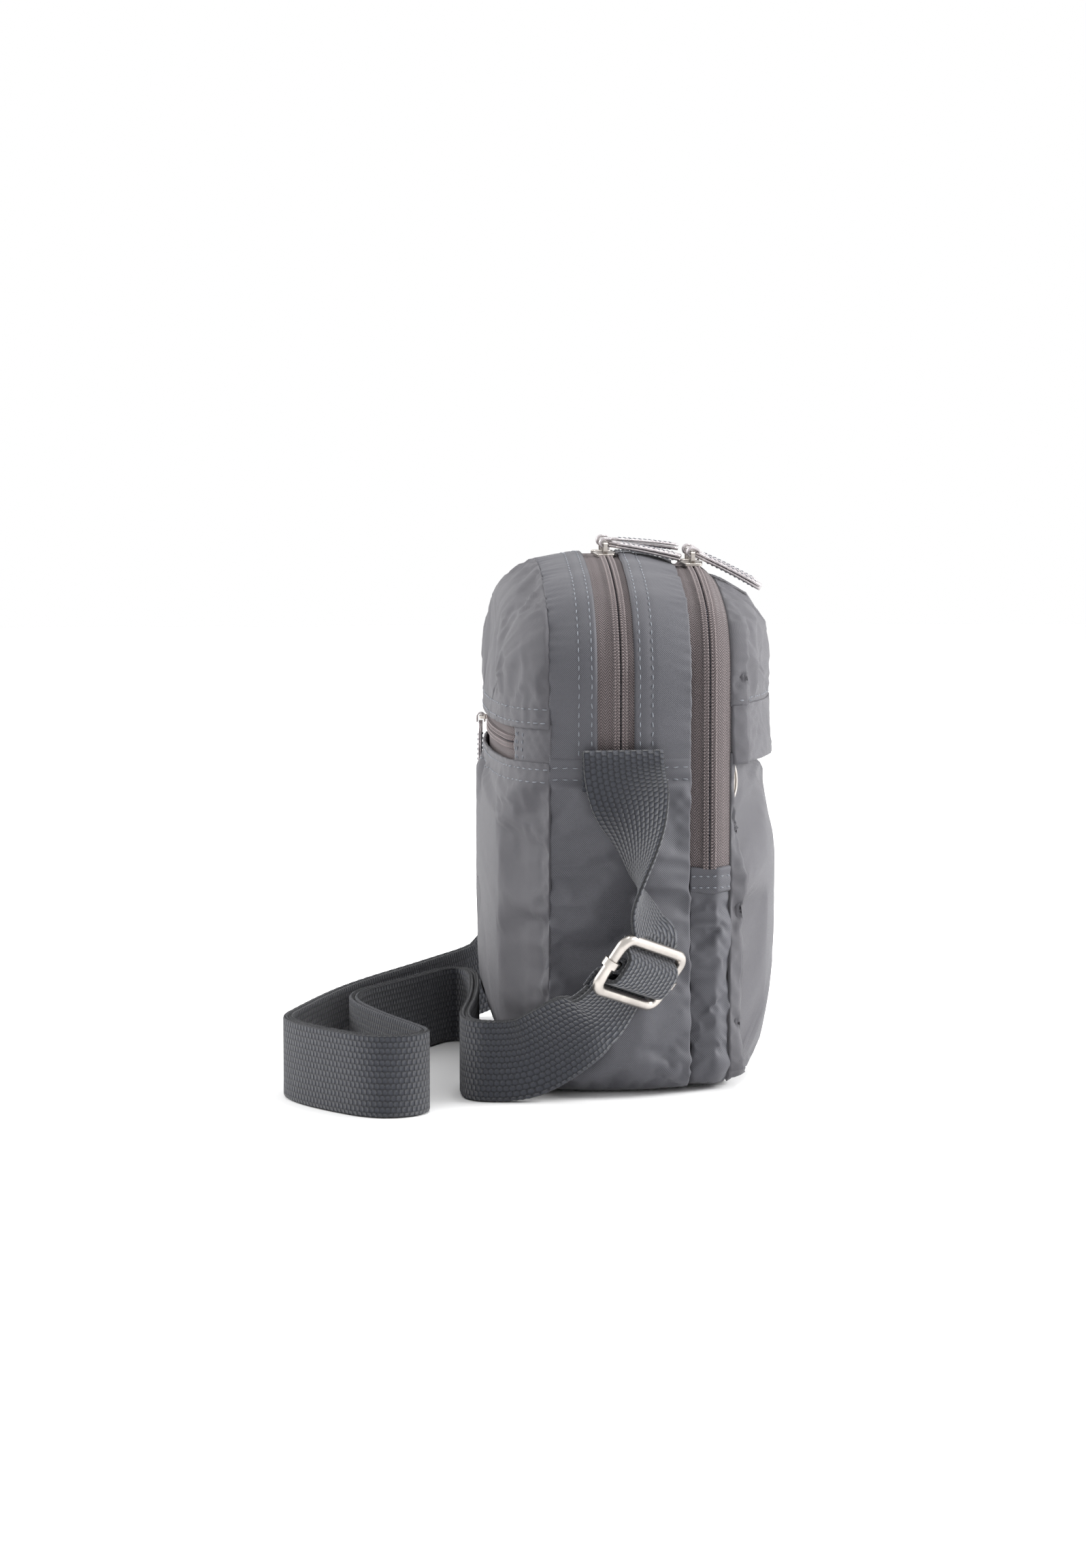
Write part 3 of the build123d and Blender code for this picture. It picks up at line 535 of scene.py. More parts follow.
def tuck(grid, seams, depth=2.6):
    """Adds a column past each seam edge that turns into the bag, so that no gap shows."""
    for y in seams:
        col = 0 if abs(grid[0, 0, 1] - y) < abs(grid[0, -1, 1] - y) else -1
        n = normals(grid)[:, col]
        past = grid[:, col] - grid[:, 1 if col == 0 else -2]
        past = past / np.linalg.norm(past, axis=1, keepdims=True)
        extra = (grid[:, col] + past * 0.5 - n * depth)[:, None]
        grid = np.concatenate([extra, grid] if col == 0 else [grid, extra], axis=1)
    return grid


def grid_uv(grid):
    mid = grid.shape[1] // 2
    s = dist(grid[:, mid])
    t = dist(grid[grid.shape[0] // 2])
    return np.stack(np.meshgrid(s, t, indexing="ij"), axis=2)


def to_frame(grid):
    return (grid + (0, DY, 0)) * MM


def round_edges(grid, edges, depth=0.7, reach=0.9):
    """Folded edges: the columns or rows next to an edge roll in towards the back."""
    uv = grid_uv(grid)
    n = normals(grid)
    s, t = uv[..., 0], uv[..., 1]
    far = {"low_t": t, "high_t": t.max() - t, "low_s": s, "high_s": s.max() - s}
    drop = np.zeros(s.shape)
    for e in edges:
        x = np.clip(1 - far[e] / reach, 0, 1)
        drop = np.maximum(drop, depth * (1 - np.sqrt(1 - x * x)))
    return grid - n * drop[..., None]


def outward(grid):
    """The grid with its columns turned so that its normals leave the bag."""
    n = normals(grid)
    centre = np.array([0, 9.0, 110.0])
    side = np.einsum("ijk,ijk->ij", n, grid - centre).mean()
    return grid if side > 0 else grid[:, ::-1]


SURFACES = {}


def surface(name, grid, mat, thick, replaces=(), body="bag", slot=None):
    """A sheet from a grid in mm; kept for stitch rows to be laid on."""
    verts, faces, uvs = shell(grid, grid_uv(grid), thick)
    o = put(name, to_frame(verts), faces, mat, uvs, body=body, slot=slot)
    if replaces:
        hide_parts(*replaces)
    n, m = grid.shape[:2]
    tree = BVHTree.FromPolygons([tuple(v) for v in grid.reshape(-1, 3)], grid_faces(n, m))
    SURFACES[name] = tree
    return o


# ---- stitches and beads -------------------------------------------------------------
def capsule(length, width, height, rings=4, sides=6):
    """A stitch on local x, its back at z = 0: verts and faces."""
    verts, faces = [(-length / 2, 0, -height * 0.6)], []
    for i in range(1, rings):
        f = i / rings
        r = math.sin(f * math.pi) ** 0.45
        for k in range(sides):
            a = 2 * math.pi * k / sides
            verts.append((length * (f - 0.5), width / 2 * r * math.cos(a),
                          height * (r * (0.5 + 0.5 * math.sin(a)) - 0.35 * (1 - r) - 0.15)))
    verts.append((length / 2, 0, -height * 0.6))
    end = len(verts) - 1
    for k in range(sides):
        n = (k + 1) % sides
        faces.append((0, 1 + n, 1 + k))
        for i in range(rings - 2):
            a = 1 + i * sides
            faces.append((a + k, a + n, a + sides + n, a + sides + k))
        faces.append((end, end - sides + k, end - sides + n))
    return np.array(verts), faces


def scatter(name, frames, size, mat, body="bag", jitter=0.08, slot=None, rings=4):
    """One mesh of capsules, each at (point, tangent, normal) in mm."""
    base, base_faces = capsule(*size, rings=rings)
    verts, faces = [], []
    for p, t, n in frames:
        p, t, n = (np.asarray(x, float) for x in (p, t, n))
        t = t / np.linalg.norm(t)
        n = n - t * n.dot(t)
        n = n / np.linalg.norm(n)
        b = np.cross(n, t)
        swing = rng.normal(0, jitter)
        t, b = t + b * swing, b - t * swing
        k = len(verts) * len(base)
        verts.append(p + base[:, :1] * t + base[:, 1:2] * b + base[:, 2:] * n)
        faces += [tuple(k + i for i in f) for f in base_faces]
    o = put(name, to_frame(np.concatenate(verts)), faces, mat, body=body, slot=slot)
    return o


def snap(names, point, direction, reach=14.0):
    """The outermost of the named surfaces under a point, looking along -direction."""
    best = None
    d = Vector(direction).normalized()
    start = Vector(point) + d * reach
    for name in names:
        hit = SURFACES[name].ray_cast(start, -d, 2 * reach)
        if hit[0] is not None and (best is None or hit[3] < best[2]):
            best = (hit[0], hit[1], hit[3])
    if best is None:
        return None
    n = best[1] if best[1].dot(d) > 0 else -best[1]
    return np.array(best[0]), np.array(n)


def row(name, line, directions, on, pitch=3.7, size=(2.75, 0.5, 0.45), mat="thread", body="bag", slot=None):
    """A row of stitches that lies on the named surfaces under a line."""
    line = np.asarray(line, float)
    s = dist(line)
    count = int(s[-1] / pitch)
    frames = []
    for i in range(count):
        m = (i + 0.5) * s[-1] / count
        p = np.array([np.interp(m, s, line[:, k]) for k in range(3)])
        q = np.array([np.interp(m + 0.6, s, line[:, k]) for k in range(3)])
        d = np.array([np.interp(m, s, directions[:, k]) for k in range(3)])
        hit = snap(on, p, d)
        if hit is not None:
            frames.append((hit[0], q - p, hit[1]))
    return scatter(name, frames, size, mat, body=body, slot=slot)


def loop_line(loop, y):
    """Points and outward directions for a line at depth y on a loop in x and z."""
    pts = np.column_stack([loop[:, 0], np.full(len(loop), y), loop[:, 1]])
    t = np.gradient(loop, axis=0)
    n = np.column_stack([-t[:, 1], np.zeros(len(loop)), t[:, 0]])
    mid = loop.mean(axis=0)
    if ((loop - mid) * n[:, [0, 2]]).sum() < 0:
        n = -n
    return pts, n / np.linalg.norm(n, axis=1, keepdims=True)


# ---- the gusset ---------------------------------------------------------------------
SEAM_Z = 135.0
BACK_SEAM, FRONT_SEAM, POCKET_SEAM = 37.5, -18.5, -35.5
ZIP_Y, OPEN_BACK, OPEN_FRONT = 9.5, 18.8, 4.2


def crown(y):
    if y > OPEN_BACK:
        return 3.5 * ((y - OPEN_BACK) / (BACK_SEAM - OPEN_BACK)) ** 1.5
    if y < OPEN_FRONT:
        return 4.0 * ((OPEN_FRONT - y) / (OPEN_FRONT - FRONT_SEAM)) ** 1.5
    return 0.0


def groove(x, at_x, width=1.1, depth=0.28):
    return -depth * np.exp(-((x - at_x) / width) ** 2)


def gusset_lower():
    coarse = outward(band_grid(lambda i: u_loop(BODY, i, 0.35 * i, SEAM_Z, 3.0),
                               (BACK_SEAM, FRONT_SEAM), crown, 2.8))
    n, m = coarse.shape[:2]
    pin = np.zeros((n, m))
    pin[:, [0, -1]] = 1
    pin[:4] = pin[-4:] = 1
    height = coarse[..., 2]
    pin[height < 2.5] = 1
    verts = settle("gusset_cloth", coarse.reshape(-1, 3), grid_faces(n, m), pin.ravel(),
                   0.035, cap=3.0, bend=0.6)
    grid = refine(verts.reshape(n, m, 3), 3)
    uv = grid_uv(grid)
    s, y, z = uv[..., 0], grid[..., 1], grid[..., 2]
    low = smoothstep((z - 2) / 10)
    push = 0.9 * waves(s, y * 0.3, 3, 60) * low
    seam = np.exp(-np.abs(y - BACK_SEAM) / 4) + np.exp(-np.abs(y - FRONT_SEAM) / 4)
    push = push + 0.45 * seam * waves(s, y * 0.2, 5, 9) * low
    for row_z in (SEAM_Z - 4, SEAM_Z - 8.7):
        push = push + groove(z, row_z)
    grid = grid + normals(grid) * push[..., None]
    grid = tuck(round_edges(grid, ("low_s", "high_s"), 0.9, 1.3), (BACK_SEAM, FRONT_SEAM))
    return surface("gusset_lower_cloth", grid, "shell", 1.1, ("gusset_lower",), slot="shell_nylon")


def zip_strip(name, ys, fold, node, seed, rows):
    """A strip of the zipped gusset: one long edge folded by the zip, the other in the seam."""
    grid = outward(band_grid(lambda i: arch_loop(BODY, i, SEAM_Z - 2.5, 1.1), ys, crown, 0.75))
    uv = grid_uv(grid)
    s, y = uv[..., 0], grid[..., 1]
    seam = BACK_SEAM if fold == OPEN_BACK else FRONT_SEAM
    push = 0.5 * waves(s, y * 0.5, seed, 40)
    push = push + 0.5 * np.exp(-np.abs(y - seam) / 4.5) * waves(s, y * 0.3, seed + 1, 8)
    push = push * np.clip(np.minimum(s, s.max() - s) / 12, 0, 1)
    for r in rows:
        push = push + groove(y, r)
    grid = grid + normals(grid) * push[..., None]
    edge = "low_t" if abs(grid[0, 0, 1] - fold) < abs(grid[0, -1, 1] - fold) else "high_t"
    grid = tuck(round_edges(grid, (edge,), 0.9, 1.2), (seam,))
    return surface(name, grid, "shell", 1.1, (node,), slot="shell_nylon")


def ridge(r, height):
    """Raised tape over one half of the coil, r mm from the zip's middle."""
    x = (abs(r) - 1.52) / 1.36
    return height * math.sqrt(max(0.0, 1 - x * x)) if abs(r) > 0.1 else -0.5


def zip_tape(name, ys, y_zip, level, loop, crown_of, node, height=1.0):
    """One zip tape that rises over its half of the coil."""
    def inset(y):
        return crown_of(y) + level - ridge(y - y_zip, height)
    grid = outward(band_grid(loop, ys, inset, 0.3))
    return surface(name, grid, "tape", 0.5, (node,), slot="zip_tape")


def chain(name, y_zip, level, loop, trim, body="bag", height=1.0):
    """The rows of thread that hold the coil, and the coil's glints between the tapes."""
    frames = []
    for r in (-2.25, -0.85, 0.85, 2.25):
        inset = level - ridge(r, height) + 0.02
        line, n = loop_line(loop(inset), y_zip + r)
        s = dist(line)
        lean = -0.5 if r > 0 else 0.5
        for m in np.arange(trim, s[-1] - trim, 1.28):
            k = np.searchsorted(s, m)
            t = line[k] - line[k - 1]
            t = t / np.linalg.norm(t)
            side = (0.35 if r * (abs(r) - 1.5) > 0 else -0.35) * (1 if abs(r) > 1.5 else 1)
            up = n[k] + np.array([0, lean * (1 if abs(r) > 1.5 else -0.4), 0]) * -1
            frames.append((line[k] + (m - s[k]) * t, t + np.array([0, side * 0.3, 0]), up))
    scatter(name, frames, (1.02, 0.78, 0.55), "chain", body=body, jitter=0.05, slot="zip_tape", rings=3)
    glints = []
    line, n = loop_line(loop(level + 0.15), y_zip)
    s = dist(line)
    for m in np.arange(trim, s[-1] - trim, 1.28):
        k = np.searchsorted(s, m)
        glints.append((line[k], (0, 1, 0), n[k]))
    scatter(name + "_coil", glints, (1.0, 0.7, 0.6), "coil", body=body, jitter=0.1, slot="zip_coil", rings=3)


def main_zip():
    zip_strip("zip_strip_back_cloth", (BACK_SEAM, OPEN_BACK), OPEN_BACK, "gusset_zip_strip_back",
              11, (21.0, 26.0))
    zip_strip("zip_strip_front_cloth", (OPEN_FRONT, FRONT_SEAM), OPEN_FRONT, "gusset_zip_strip_front",
              21, (2.0, -3.0))
    loop = lambda i: arch_loop(BODY, i, SEAM_Z - 5, 1.6)
    crown_of = lambda y: 0.0
    zip_tape("main_tape_back", (22.0, ZIP_Y + 0.12), ZIP_Y, 1.5, loop, crown_of, "main_zip_tape_back")
    zip_tape("main_tape_front", (ZIP_Y - 0.12, 1.0), ZIP_Y, 1.5, loop, crown_of, "main_zip_tape_front")
    chain("main_chain", ZIP_Y, 1.5, loop, 6)
    on = ["zip_strip_back_cloth", "zip_strip_front_cloth"]
    flat = arch_loop(BODY, 0, SEAM_Z, 1.5)
    for i, y in enumerate((21.0, 26.0, 2.0, -3.0)):
        line, d = loop_line(flat, y)
        row(f"main_stitches_{i}", line, d, on, slot="shell_nylon")


def cross_seam_rows():
    for side, x in (("near", -90.0), ("far", 90.0)):
        for i, z in enumerate((SEAM_Z - 4, SEAM_Z - 8.7)):
            ys = np.linspace(BACK_SEAM - 0.5, FRONT_SEAM + 0.5, 60)
            line = np.column_stack([np.full(60, x), ys, np.full(60, z)])
            d = np.tile([math.copysign(1, x), 0.0, 0.0], (60, 1))
            row(f"cross_stitches_{side}_{i}", line, d, ["gusset_lower_cloth"], slot="shell_nylon")


# ---- the front pocket's gusset ------------------------------------------------------
POCKET_ZIP_Y, POCKET_END = -26.5, 90.0


def pocket_crown(y):
    mid = POCKET_ZIP_Y - 3.2
    return 5.0 * ((mid - y) / (mid - POCKET_SEAM)) ** 1.4 if y < mid else 0.0


def pocket_gusset():
    coarse = outward(band_grid(lambda i: u_loop(POCKET, i + 0.2, 0.6 * i + 0.6, POCKET_END - 8, 2.4),
                               (FRONT_SEAM - 0.15, POCKET_SEAM), pocket_crown, 1.9))
    n, m = coarse.shape[:2]
    pin = np.zeros((n, m))
    pin[:, [0, -1]] = 1
    pin[:2] = pin[-2:] = 1
    pin[coarse[..., 2] < 2.5] = 1
    verts = settle("pocket_cloth", coarse.reshape(-1, 3), grid_faces(n, m), pin.ravel(),
                   0.045, cap=3.0, bend=0.8)
    grid = refine(verts.reshape(n, m, 3), 3)
    uv = grid_uv(grid)
    s, y, z = uv[..., 0], grid[..., 1], grid[..., 2]
    low = smoothstep((z - 2) / 10)
    seam = np.exp(-np.abs(y - POCKET_SEAM) / 4) + np.exp(-np.abs(y - FRONT_SEAM) / 4)
    push = (1.0 * waves(s, y * 0.4, 31, 30) - 0.5 + 0.5 * seam * waves(s, y * 0.3, 33, 14)) * low
    grid = grid + normals(grid) * push[..., None]
    surface("pocket_gusset_cloth", tuck(grid, (FRONT_SEAM, POCKET_SEAM)), "shell", 1.0, ("pocket_gusset",),
            slot="shell_nylon")


def pocket_tabs():
    """Folded tabs that close the pocket zip's ends, one on each side."""
    for side in (-1, 1):
        zs = np.linspace(POCKET_END - 9.5, POCKET_END + 0.8, 20)
        ys = np.linspace(FRONT_SEAM - 0.2, POCKET_SEAM, 24)
        grid = np.empty((20, 24, 3))
        for j, y in enumerate(ys):
            dip = 0.8 * math.exp(-((y - POCKET_ZIP_Y) / 4) ** 2)
            x = POCKET[0] - pocket_crown(y) + 0.5
            grid[:, j] = np.column_stack([np.full(20, side * x), np.full(20, y), zs - dip])
        grid = outward(grid)
        z = grid[..., 2]
        push = groove(z, POCKET_END - 2.5) + groove(z, POCKET_END - 7.0)
        grid = round_edges(grid + normals(grid) * push[..., None], ("low_s", "high_s"), 0.7, 1.0)
        name = "pocket_tab_near" if side < 0 else "pocket_tab_far"
        surface(name, grid, "shell", 1.0, (), slot="shell_nylon")
        for i, z in enumerate((POCKET_END - 2.5, POCKET_END - 7.0)):
            line = np.column_stack([np.full(24, side * POCKET[0]), ys, np.full(24, z) - 0.6])
            d = np.tile([float(side), 0.0, 0.0], (24, 1))
            row(f"{name}_stitches_{i}", line, d, [name], pitch=2.6, size=(1.9, 0.55, 0.5), slot="shell_nylon")
    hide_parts("pocket_zip_end_tabs")


def pocket_zip():
    loop = lambda i: arch_loop(POCKET, i, POCKET_END - 3, 1.6)
    level = 0.9
    wavy = lambda y: 0.0
    zip_tape("pocket_tape_back", (FRONT_SEAM - 0.1, POCKET_ZIP_Y + 0.12), POCKET_ZIP_Y, level, loop, wavy,
             "pocket_zip_tape_back")
    zip_tape("pocket_tape_front", (POCKET_ZIP_Y - 0.12, POCKET_SEAM), POCKET_ZIP_Y, level, loop, pocket_crown,
             "pocket_zip_tape_front")
    chain("pocket_chain", POCKET_ZIP_Y, level, loop, 3)


# ---- back and front panels ----------------------------------------------------------
BACK_PROFILE = ((0, 0), (2, 3.6), (4, 6), (8, 9.4), (12, 12), (18, 15),
                (24, 17.3), (32, 19.3), (40, 20.5), (60, 23), (90, 24))
FRONT_PROFILE = ((0, 0), (1.5, 4.4), (3, 7), (5.5, 10.4), (8, 13), (16, 16.6),
                 (26, 19.2), (36, 22.4), (46, 25), (90, 29))
RINGS = (0, 0.7, 1.6, 2.8, 4.2, 6, 8, 10.3, 13, 16, 19.5, 23, 27, 31, 35.5, 40, 45, 50, 55, 60, 65, 70, 75)


def back_arc(x):
    return -421.5 + math.sqrt(480.0 ** 2 - x * x)


def front_arc(x):
    return 78.5 - math.sqrt(138.0 ** 2 - x * x)


def softmin(a, b, k=1.6):
    return -k * math.log(math.exp(-a / k) + math.exp(-b / k))


class Panel:
    """A padded panel as rings from its seam to its middle, in mm."""

    def __init__(self, kind, crown_inset, seam, side, profile, arc, step=3.2):
        self.seam, self.side = seam, side
        self.profile = np.array(profile, float)
        self.arc = arc
        ts = spread(kind, 0, 5, step)
        hw = kind[0] - crown_inset
        insets = [-1.0] + [i for i in RINGS if i < hw - 3]
        rings, uvs, self.inset = [], [], []
        d = np.linspace(0, 90, 400)
        slope = np.gradient(np.interp(d, *self.profile.T), d)
        extra = np.concatenate([[0], np.cumsum((np.sqrt(1 + slope ** 2) - 1)[1:] * np.diff(d))])
        for step_in in insets:
            tucked = step_in < 0
            i = 1.8 if tucked else step_in
            o = Outline(kind, i + crown_inset, i + 1.6 * max(0, 1 - i / 20))
            right = half_loop(o, ts)
            ring = np.concatenate([right, half_loop(o, ts, True)[::-1][1:-1]])
            y = [seam - side * 1.2 if tucked else self.height(x, i) for x, _ in ring]
            rings.append(np.column_stack([ring[:, 0], y, ring[:, 1]]))
            t = np.roll(ring, -1, axis=0) - np.roll(ring, 1, axis=0)
            g = np.column_stack([t[:, 1], -t[:, 0]])
            g = g / np.maximum(np.linalg.norm(g, axis=1, keepdims=True), 1e-9)
            if ((ring - ring.mean(axis=0)) * g).sum() < 0:
                g = -g
            e = extra[-1] - np.interp(i, d, extra)
            uvs.append(ring + g * e)
            self.inset += [step_in] * len(ring)
        n = len(rings[0])
        verts, faces = list(np.concatenate(rings)), []
        for a in range(len(rings) - 1):
            for k in range(n):
                m = (k + 1) % n
                faces.append((a * n + k, a * n + m, (a + 1) * n + m, (a + 1) * n + k))
        last = (len(rings) - 1) * n
        half = n // 2
        for k in range(1, half):
            other = (n - k) % n
            nxt, nxt_o = (k + 1) % n, (n - k - 1) % n
            if k == 1:
                faces.append((last + 0, last + 1, last + n - 1))
            if nxt != nxt_o:
                faces.append((last + k, last + nxt, last + nxt_o, last + other))
            else:
                faces.append((last + k, last + nxt, last + other))
        self.verts, self.uvs = np.array(verts), np.concatenate(uvs)
        self.faces = faces if side < 0 else [f[::-1] for f in faces]
        self.inset = np.array(self.inset)
        self.n = n

    def height(self, x, inset):
        """Depth of the panel's face at an inset from its seam."""
        free = np.interp(inset, *self.profile.T)
        reach = (self.arc(x) - self.seam) * self.side
        return self.seam + self.side * max(0.0, softmin(free, reach) if inset > 4 else free)

    def relax(self, slack, bend, cap, pressure=0.0, stiff=()):
        pin = (self.inset < 0.3).astype(float)
        z = self.verts[:, 2]
        for z0, z1 in stiff:
            pin = np.maximum(pin, ((z > z0) & (z < z1)) * 0.85)
        self.verts = settle("panel_cloth", self.verts, self.faces, pin, slack, pressure, cap=cap, bend=bend)

    def around(self):
        return np.tile(np.arange(self.n) * 3.2, len(self.verts) // self.n)

    def pucker(self, size, seed, reach=6.0, wave=8.0, where=None):
        """Small gathers that start at the seam and die out over the panel."""
        s = self.around()
        d = np.maximum(self.inset, 0)
        push = size * np.exp(-d / reach) * (1 - np.exp(-d / 1.5)) * waves(s, d * 0.15, seed, wave)
        if where is not None:
            push = push * where(self.verts)
        self.verts[:, 1] += self.side * push

    def piece(self, name, z0, z1, mat, thick, nodes, x_keep=None, sink=None, divide=1):
        """The part of the panel between two heights as its own sheet."""
        mesh = bmesh.new()
        layer = mesh.loops.layers.uv.new("UVMap")
        pts = self.verts.copy()
        if sink is not None:
            pts[:, 1] -= self.side * sink(pts, self.inset)
        vs = [mesh.verts.new(v) for v in pts]
        for f in self.faces:
            face = mesh.faces.new([vs[i] for i in f])
            for loop, i in zip(face.loops, f):
                loop[layer].uv = self.uvs[i]
        if divide:
            bmesh.ops.subdivide_edges(mesh, edges=mesh.edges[:], cuts=divide, use_grid_fill=True, smooth=0.6)
        cuts = [((0, 0, z1), (0, 0, 1)), ((0, 0, z0), (0, 0, -1))]
        if x_keep:
            cuts.append(((x_keep, 0, 0), (-math.copysign(1, x_keep), 0, 0)))
        for co, no in cuts:
            geom = mesh.verts[:] + mesh.edges[:] + mesh.faces[:]
            bmesh.ops.bisect_plane(mesh, geom=geom, plane_co=co, plane_no=no, clear_outer=True)
        data = bpy.data.meshes.new(name)
        SURFACES[name] = BVHTree.FromBMesh(mesh)
        for v in mesh.verts:
            v.co = Vector((v.co.x, v.co.y + DY, v.co.z)) * MM
        mesh.to_mesh(data)
        mesh.free()
        data.materials.append(MAT[mat])
        data.shade_smooth()
        o = bpy.data.objects.new(name, data)
        scene.collection.objects.link(o)
        mod = o.modifiers.new("thickness", "SOLIDIFY")
        mod.thickness, mod.offset, mod.use_even_offset = thick * MM, -1, False
        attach(o, "bag")
        if nodes:
            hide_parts(*nodes)
        return o


def horizontal_rows(name, heights, side, seam, half_w, on):
    """Stitch rows that run across a panel at given heights."""
    for i, z in enumerate(heights):
        frames, pts = [], []
        dense = np.concatenate([-edge_xs(half_w)[::-1], edge_xs(half_w)])
        for x in dense:
            hit = snap(on, (x, seam + side * 10, z), (0, side, 0), 40)
            if hit is not None:
                pts.append(hit)
        where = np.array([p for p, _ in pts])
        s = dist(where)
        for m in np.arange(1.5, s[-1] - 1, 3.7):
            k = min(np.searchsorted(s, m), len(pts) - 1)
            p = np.array([np.interp(m, s, where[:, c]) for c in range(3)])
            frames.append((p, where[k] - where[k - 1], pts[k][1]))
        scatter(f"{name}_{i}", frames, (2.75, 0.5, 0.45), "thread", slot="shell_nylon")


def edge_xs(half_w):
    """Offsets from the middle that crowd together towards a panel's steep edge."""
    t = np.linspace(0, 1, 160)
    return half_w * np.sin(t * math.pi / 2)


def back_panel():
    panel = Panel(BODY, 3.5, BACK_SEAM, 1, BACK_PROFILE, back_arc)
    panel.relax(0.03, 0.4, 3.0, stiff=((126, 158),))
    top = lambda v: smoothstep((v[:, 2] - 150) / 40) + 0.45
    panel.pucker(1.5, 41, 8.0, 9.0, top)
    panel.pucker(0.6, 43, 30.0, 30.0)
    for z in (130.0, 125.1):
        panel.verts[:, 1] += groove(panel.verts[:, 2], z, 1.6, 0.25)
    panel.piece("back_panel_cloth", -1, 132.6, "panel", 1.1, ("back_panel_lower",))
    panel.piece("back_yoke_cloth", 146.0, 214, "panel", 1.1, ("back_panel_yoke",))
    tuck = lambda v, d: np.full(len(v), 0.7)
    near = panel.piece("back_tab_near", 131, 148, "panel", 1.0, (), x_keep=-71.0, sink=tuck)
    panel.piece("back_tab_far", 131, 148, "panel", 1.0, (), x_keep=71.0, sink=tuck)
    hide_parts("back_zip_end_tabs")
    horizontal_rows("back_low_stitches", (130.0, 125.1), 1, BACK_SEAM, 86.2, ["back_panel_cloth"])
    horizontal_rows("back_yoke_stitches", (148.4, 153.8), 1, BACK_SEAM, 86.2, ["back_yoke_cloth"])
    for side, tab in ((-1, "back_tab_near"), (1, "back_tab_far")):
        for i, x in enumerate((72.2, 73.4, 76.6)):
            frames = []
            for z in np.arange(134.5, 145, 2.9):
                hit = snap([tab], (side * x, BACK_SEAM + 10, z), (0, 1, 0), 40)
                if hit is not None:
                    frames.append((hit[0], (0, 0, 1), hit[1]))
            scatter(f"{tab}_stitches_{i}", frames, (2.2, 0.5, 0.45), "thread", slot="shell_nylon")
    flat_zip("back_zip", 1, back_arc, 139.4, 72.0, 12.4, 3.0,
             ("back_zip_tape_lower", "back_zip_tape_upper"))


def flat_zip(name, side, arc, z_mid, half_x, reach, level, tapes, top=None):
    """A horizontal zip under a panel's arc: two tapes and the chain between them."""
    def path(inset):
        xs = np.linspace(-half_x, half_x, 120)
        sink = inset + 5.0 * np.clip((np.abs(xs) - 58) / 14, 0, 1) ** 2
        return np.column_stack([xs, [arc(x) for x in xs] - side * sink])
    parts = []
    halves = (("lower", z_mid - reach, z_mid - 0.12), ("upper", z_mid + 0.12, z_mid + (top or reach)))
    for label, z0, z1 in halves:
        cols = np.linspace(z0, z1, int(abs(z1 - z0) / 0.3))
        lines = [np.column_stack([path(level - ridge(z - z_mid, 1.0)), np.full(120, z)]) for z in cols]
        grid = outward(np.stack(lines, axis=1))
        parts.append(surface(f"{name}_{label}", grid, "tape", 0.5, (), slot="zip_tape"))
    for o, node in zip(parts, tapes):
        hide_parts(node)
    frames, glints = [], []
    for r in (-2.25, -0.85, 0.85, 2.25):
        line = path(level - ridge(r, 1.0) + 0.02)
        s = dist(line)
        for m in np.arange(2, s[-1] - 2, 1.28):
            p = (np.interp(m, s, line[:, 0]), np.interp(m, s, line[:, 1]), z_mid + r)
            tilt = 0.5 * math.copysign(1, r) * (1 if abs(r) > 1.5 else -0.4)
            frames.append((p, (1, 0, 0.25 * math.copysign(1, r)), (0, side, tilt)))
    line = path(level + 0.15)
    xs = np.arange(-half_x + 2, half_x - 2, 1.28)
    for x, y in zip(xs, np.interp(xs, line[:, 0], line[:, 1])):
        glints.append(((x, y, z_mid), (0, 0, 1), (0, side, 0)))
    scatter(name + "_chain", frames, (1.02, 0.78, 0.55), "chain", jitter=0.05, slot="zip_tape", rings=3)
    scatter(name + "_chain_coil", glints, (1.0, 0.7, 0.6), "coil", jitter=0.1, slot="zip_coil", rings=3)


def front_panel():
    panel = Panel(POCKET, 5.0, POCKET_SEAM, -1, FRONT_PROFILE, front_arc)
    panel.relax(0.03, 0.4, 3.0, stiff=((126, 158),))
    panel.pucker(1.0, 51, 9.0, 10.0)
    panel.pucker(0.8, 53, 34.0, 34.0)
    low = lambda v, d: (5.0 * smoothstep((v[:, 2] - 88) / 32) * smoothstep(d / 3.0)
                        + 0.02 * np.clip(60 - v[:, 2], 0, 60) * smoothstep(d / 10))
    panel.piece("front_panel_cloth", -1, 135.5, "panel", 1.0, ("front_panel_lower",), sink=low)
    flare = lambda v, _: -0.5 - 0.9 * smoothstep((142 - v[:, 2]) / 12)
    panel.piece("front_flap_cloth", 131.0, 154.3, "panel", 1.0, ("front_flap",), sink=flare)
    panel.piece("front_yoke_cloth", 154.0, 210, "panel", 1.0, ("front_yoke",))
    horizontal_rows("front_yoke_stitches", (156.4,), -1, POCKET_SEAM, 77.0, ["front_yoke_cloth"])
    flat_zip("panel_zip", -1, front_arc, 141.0, 72.0, 10.0, 6.8,
             ("panel_zip_tape_lower", "panel_zip_tape_upper"), 11.5)


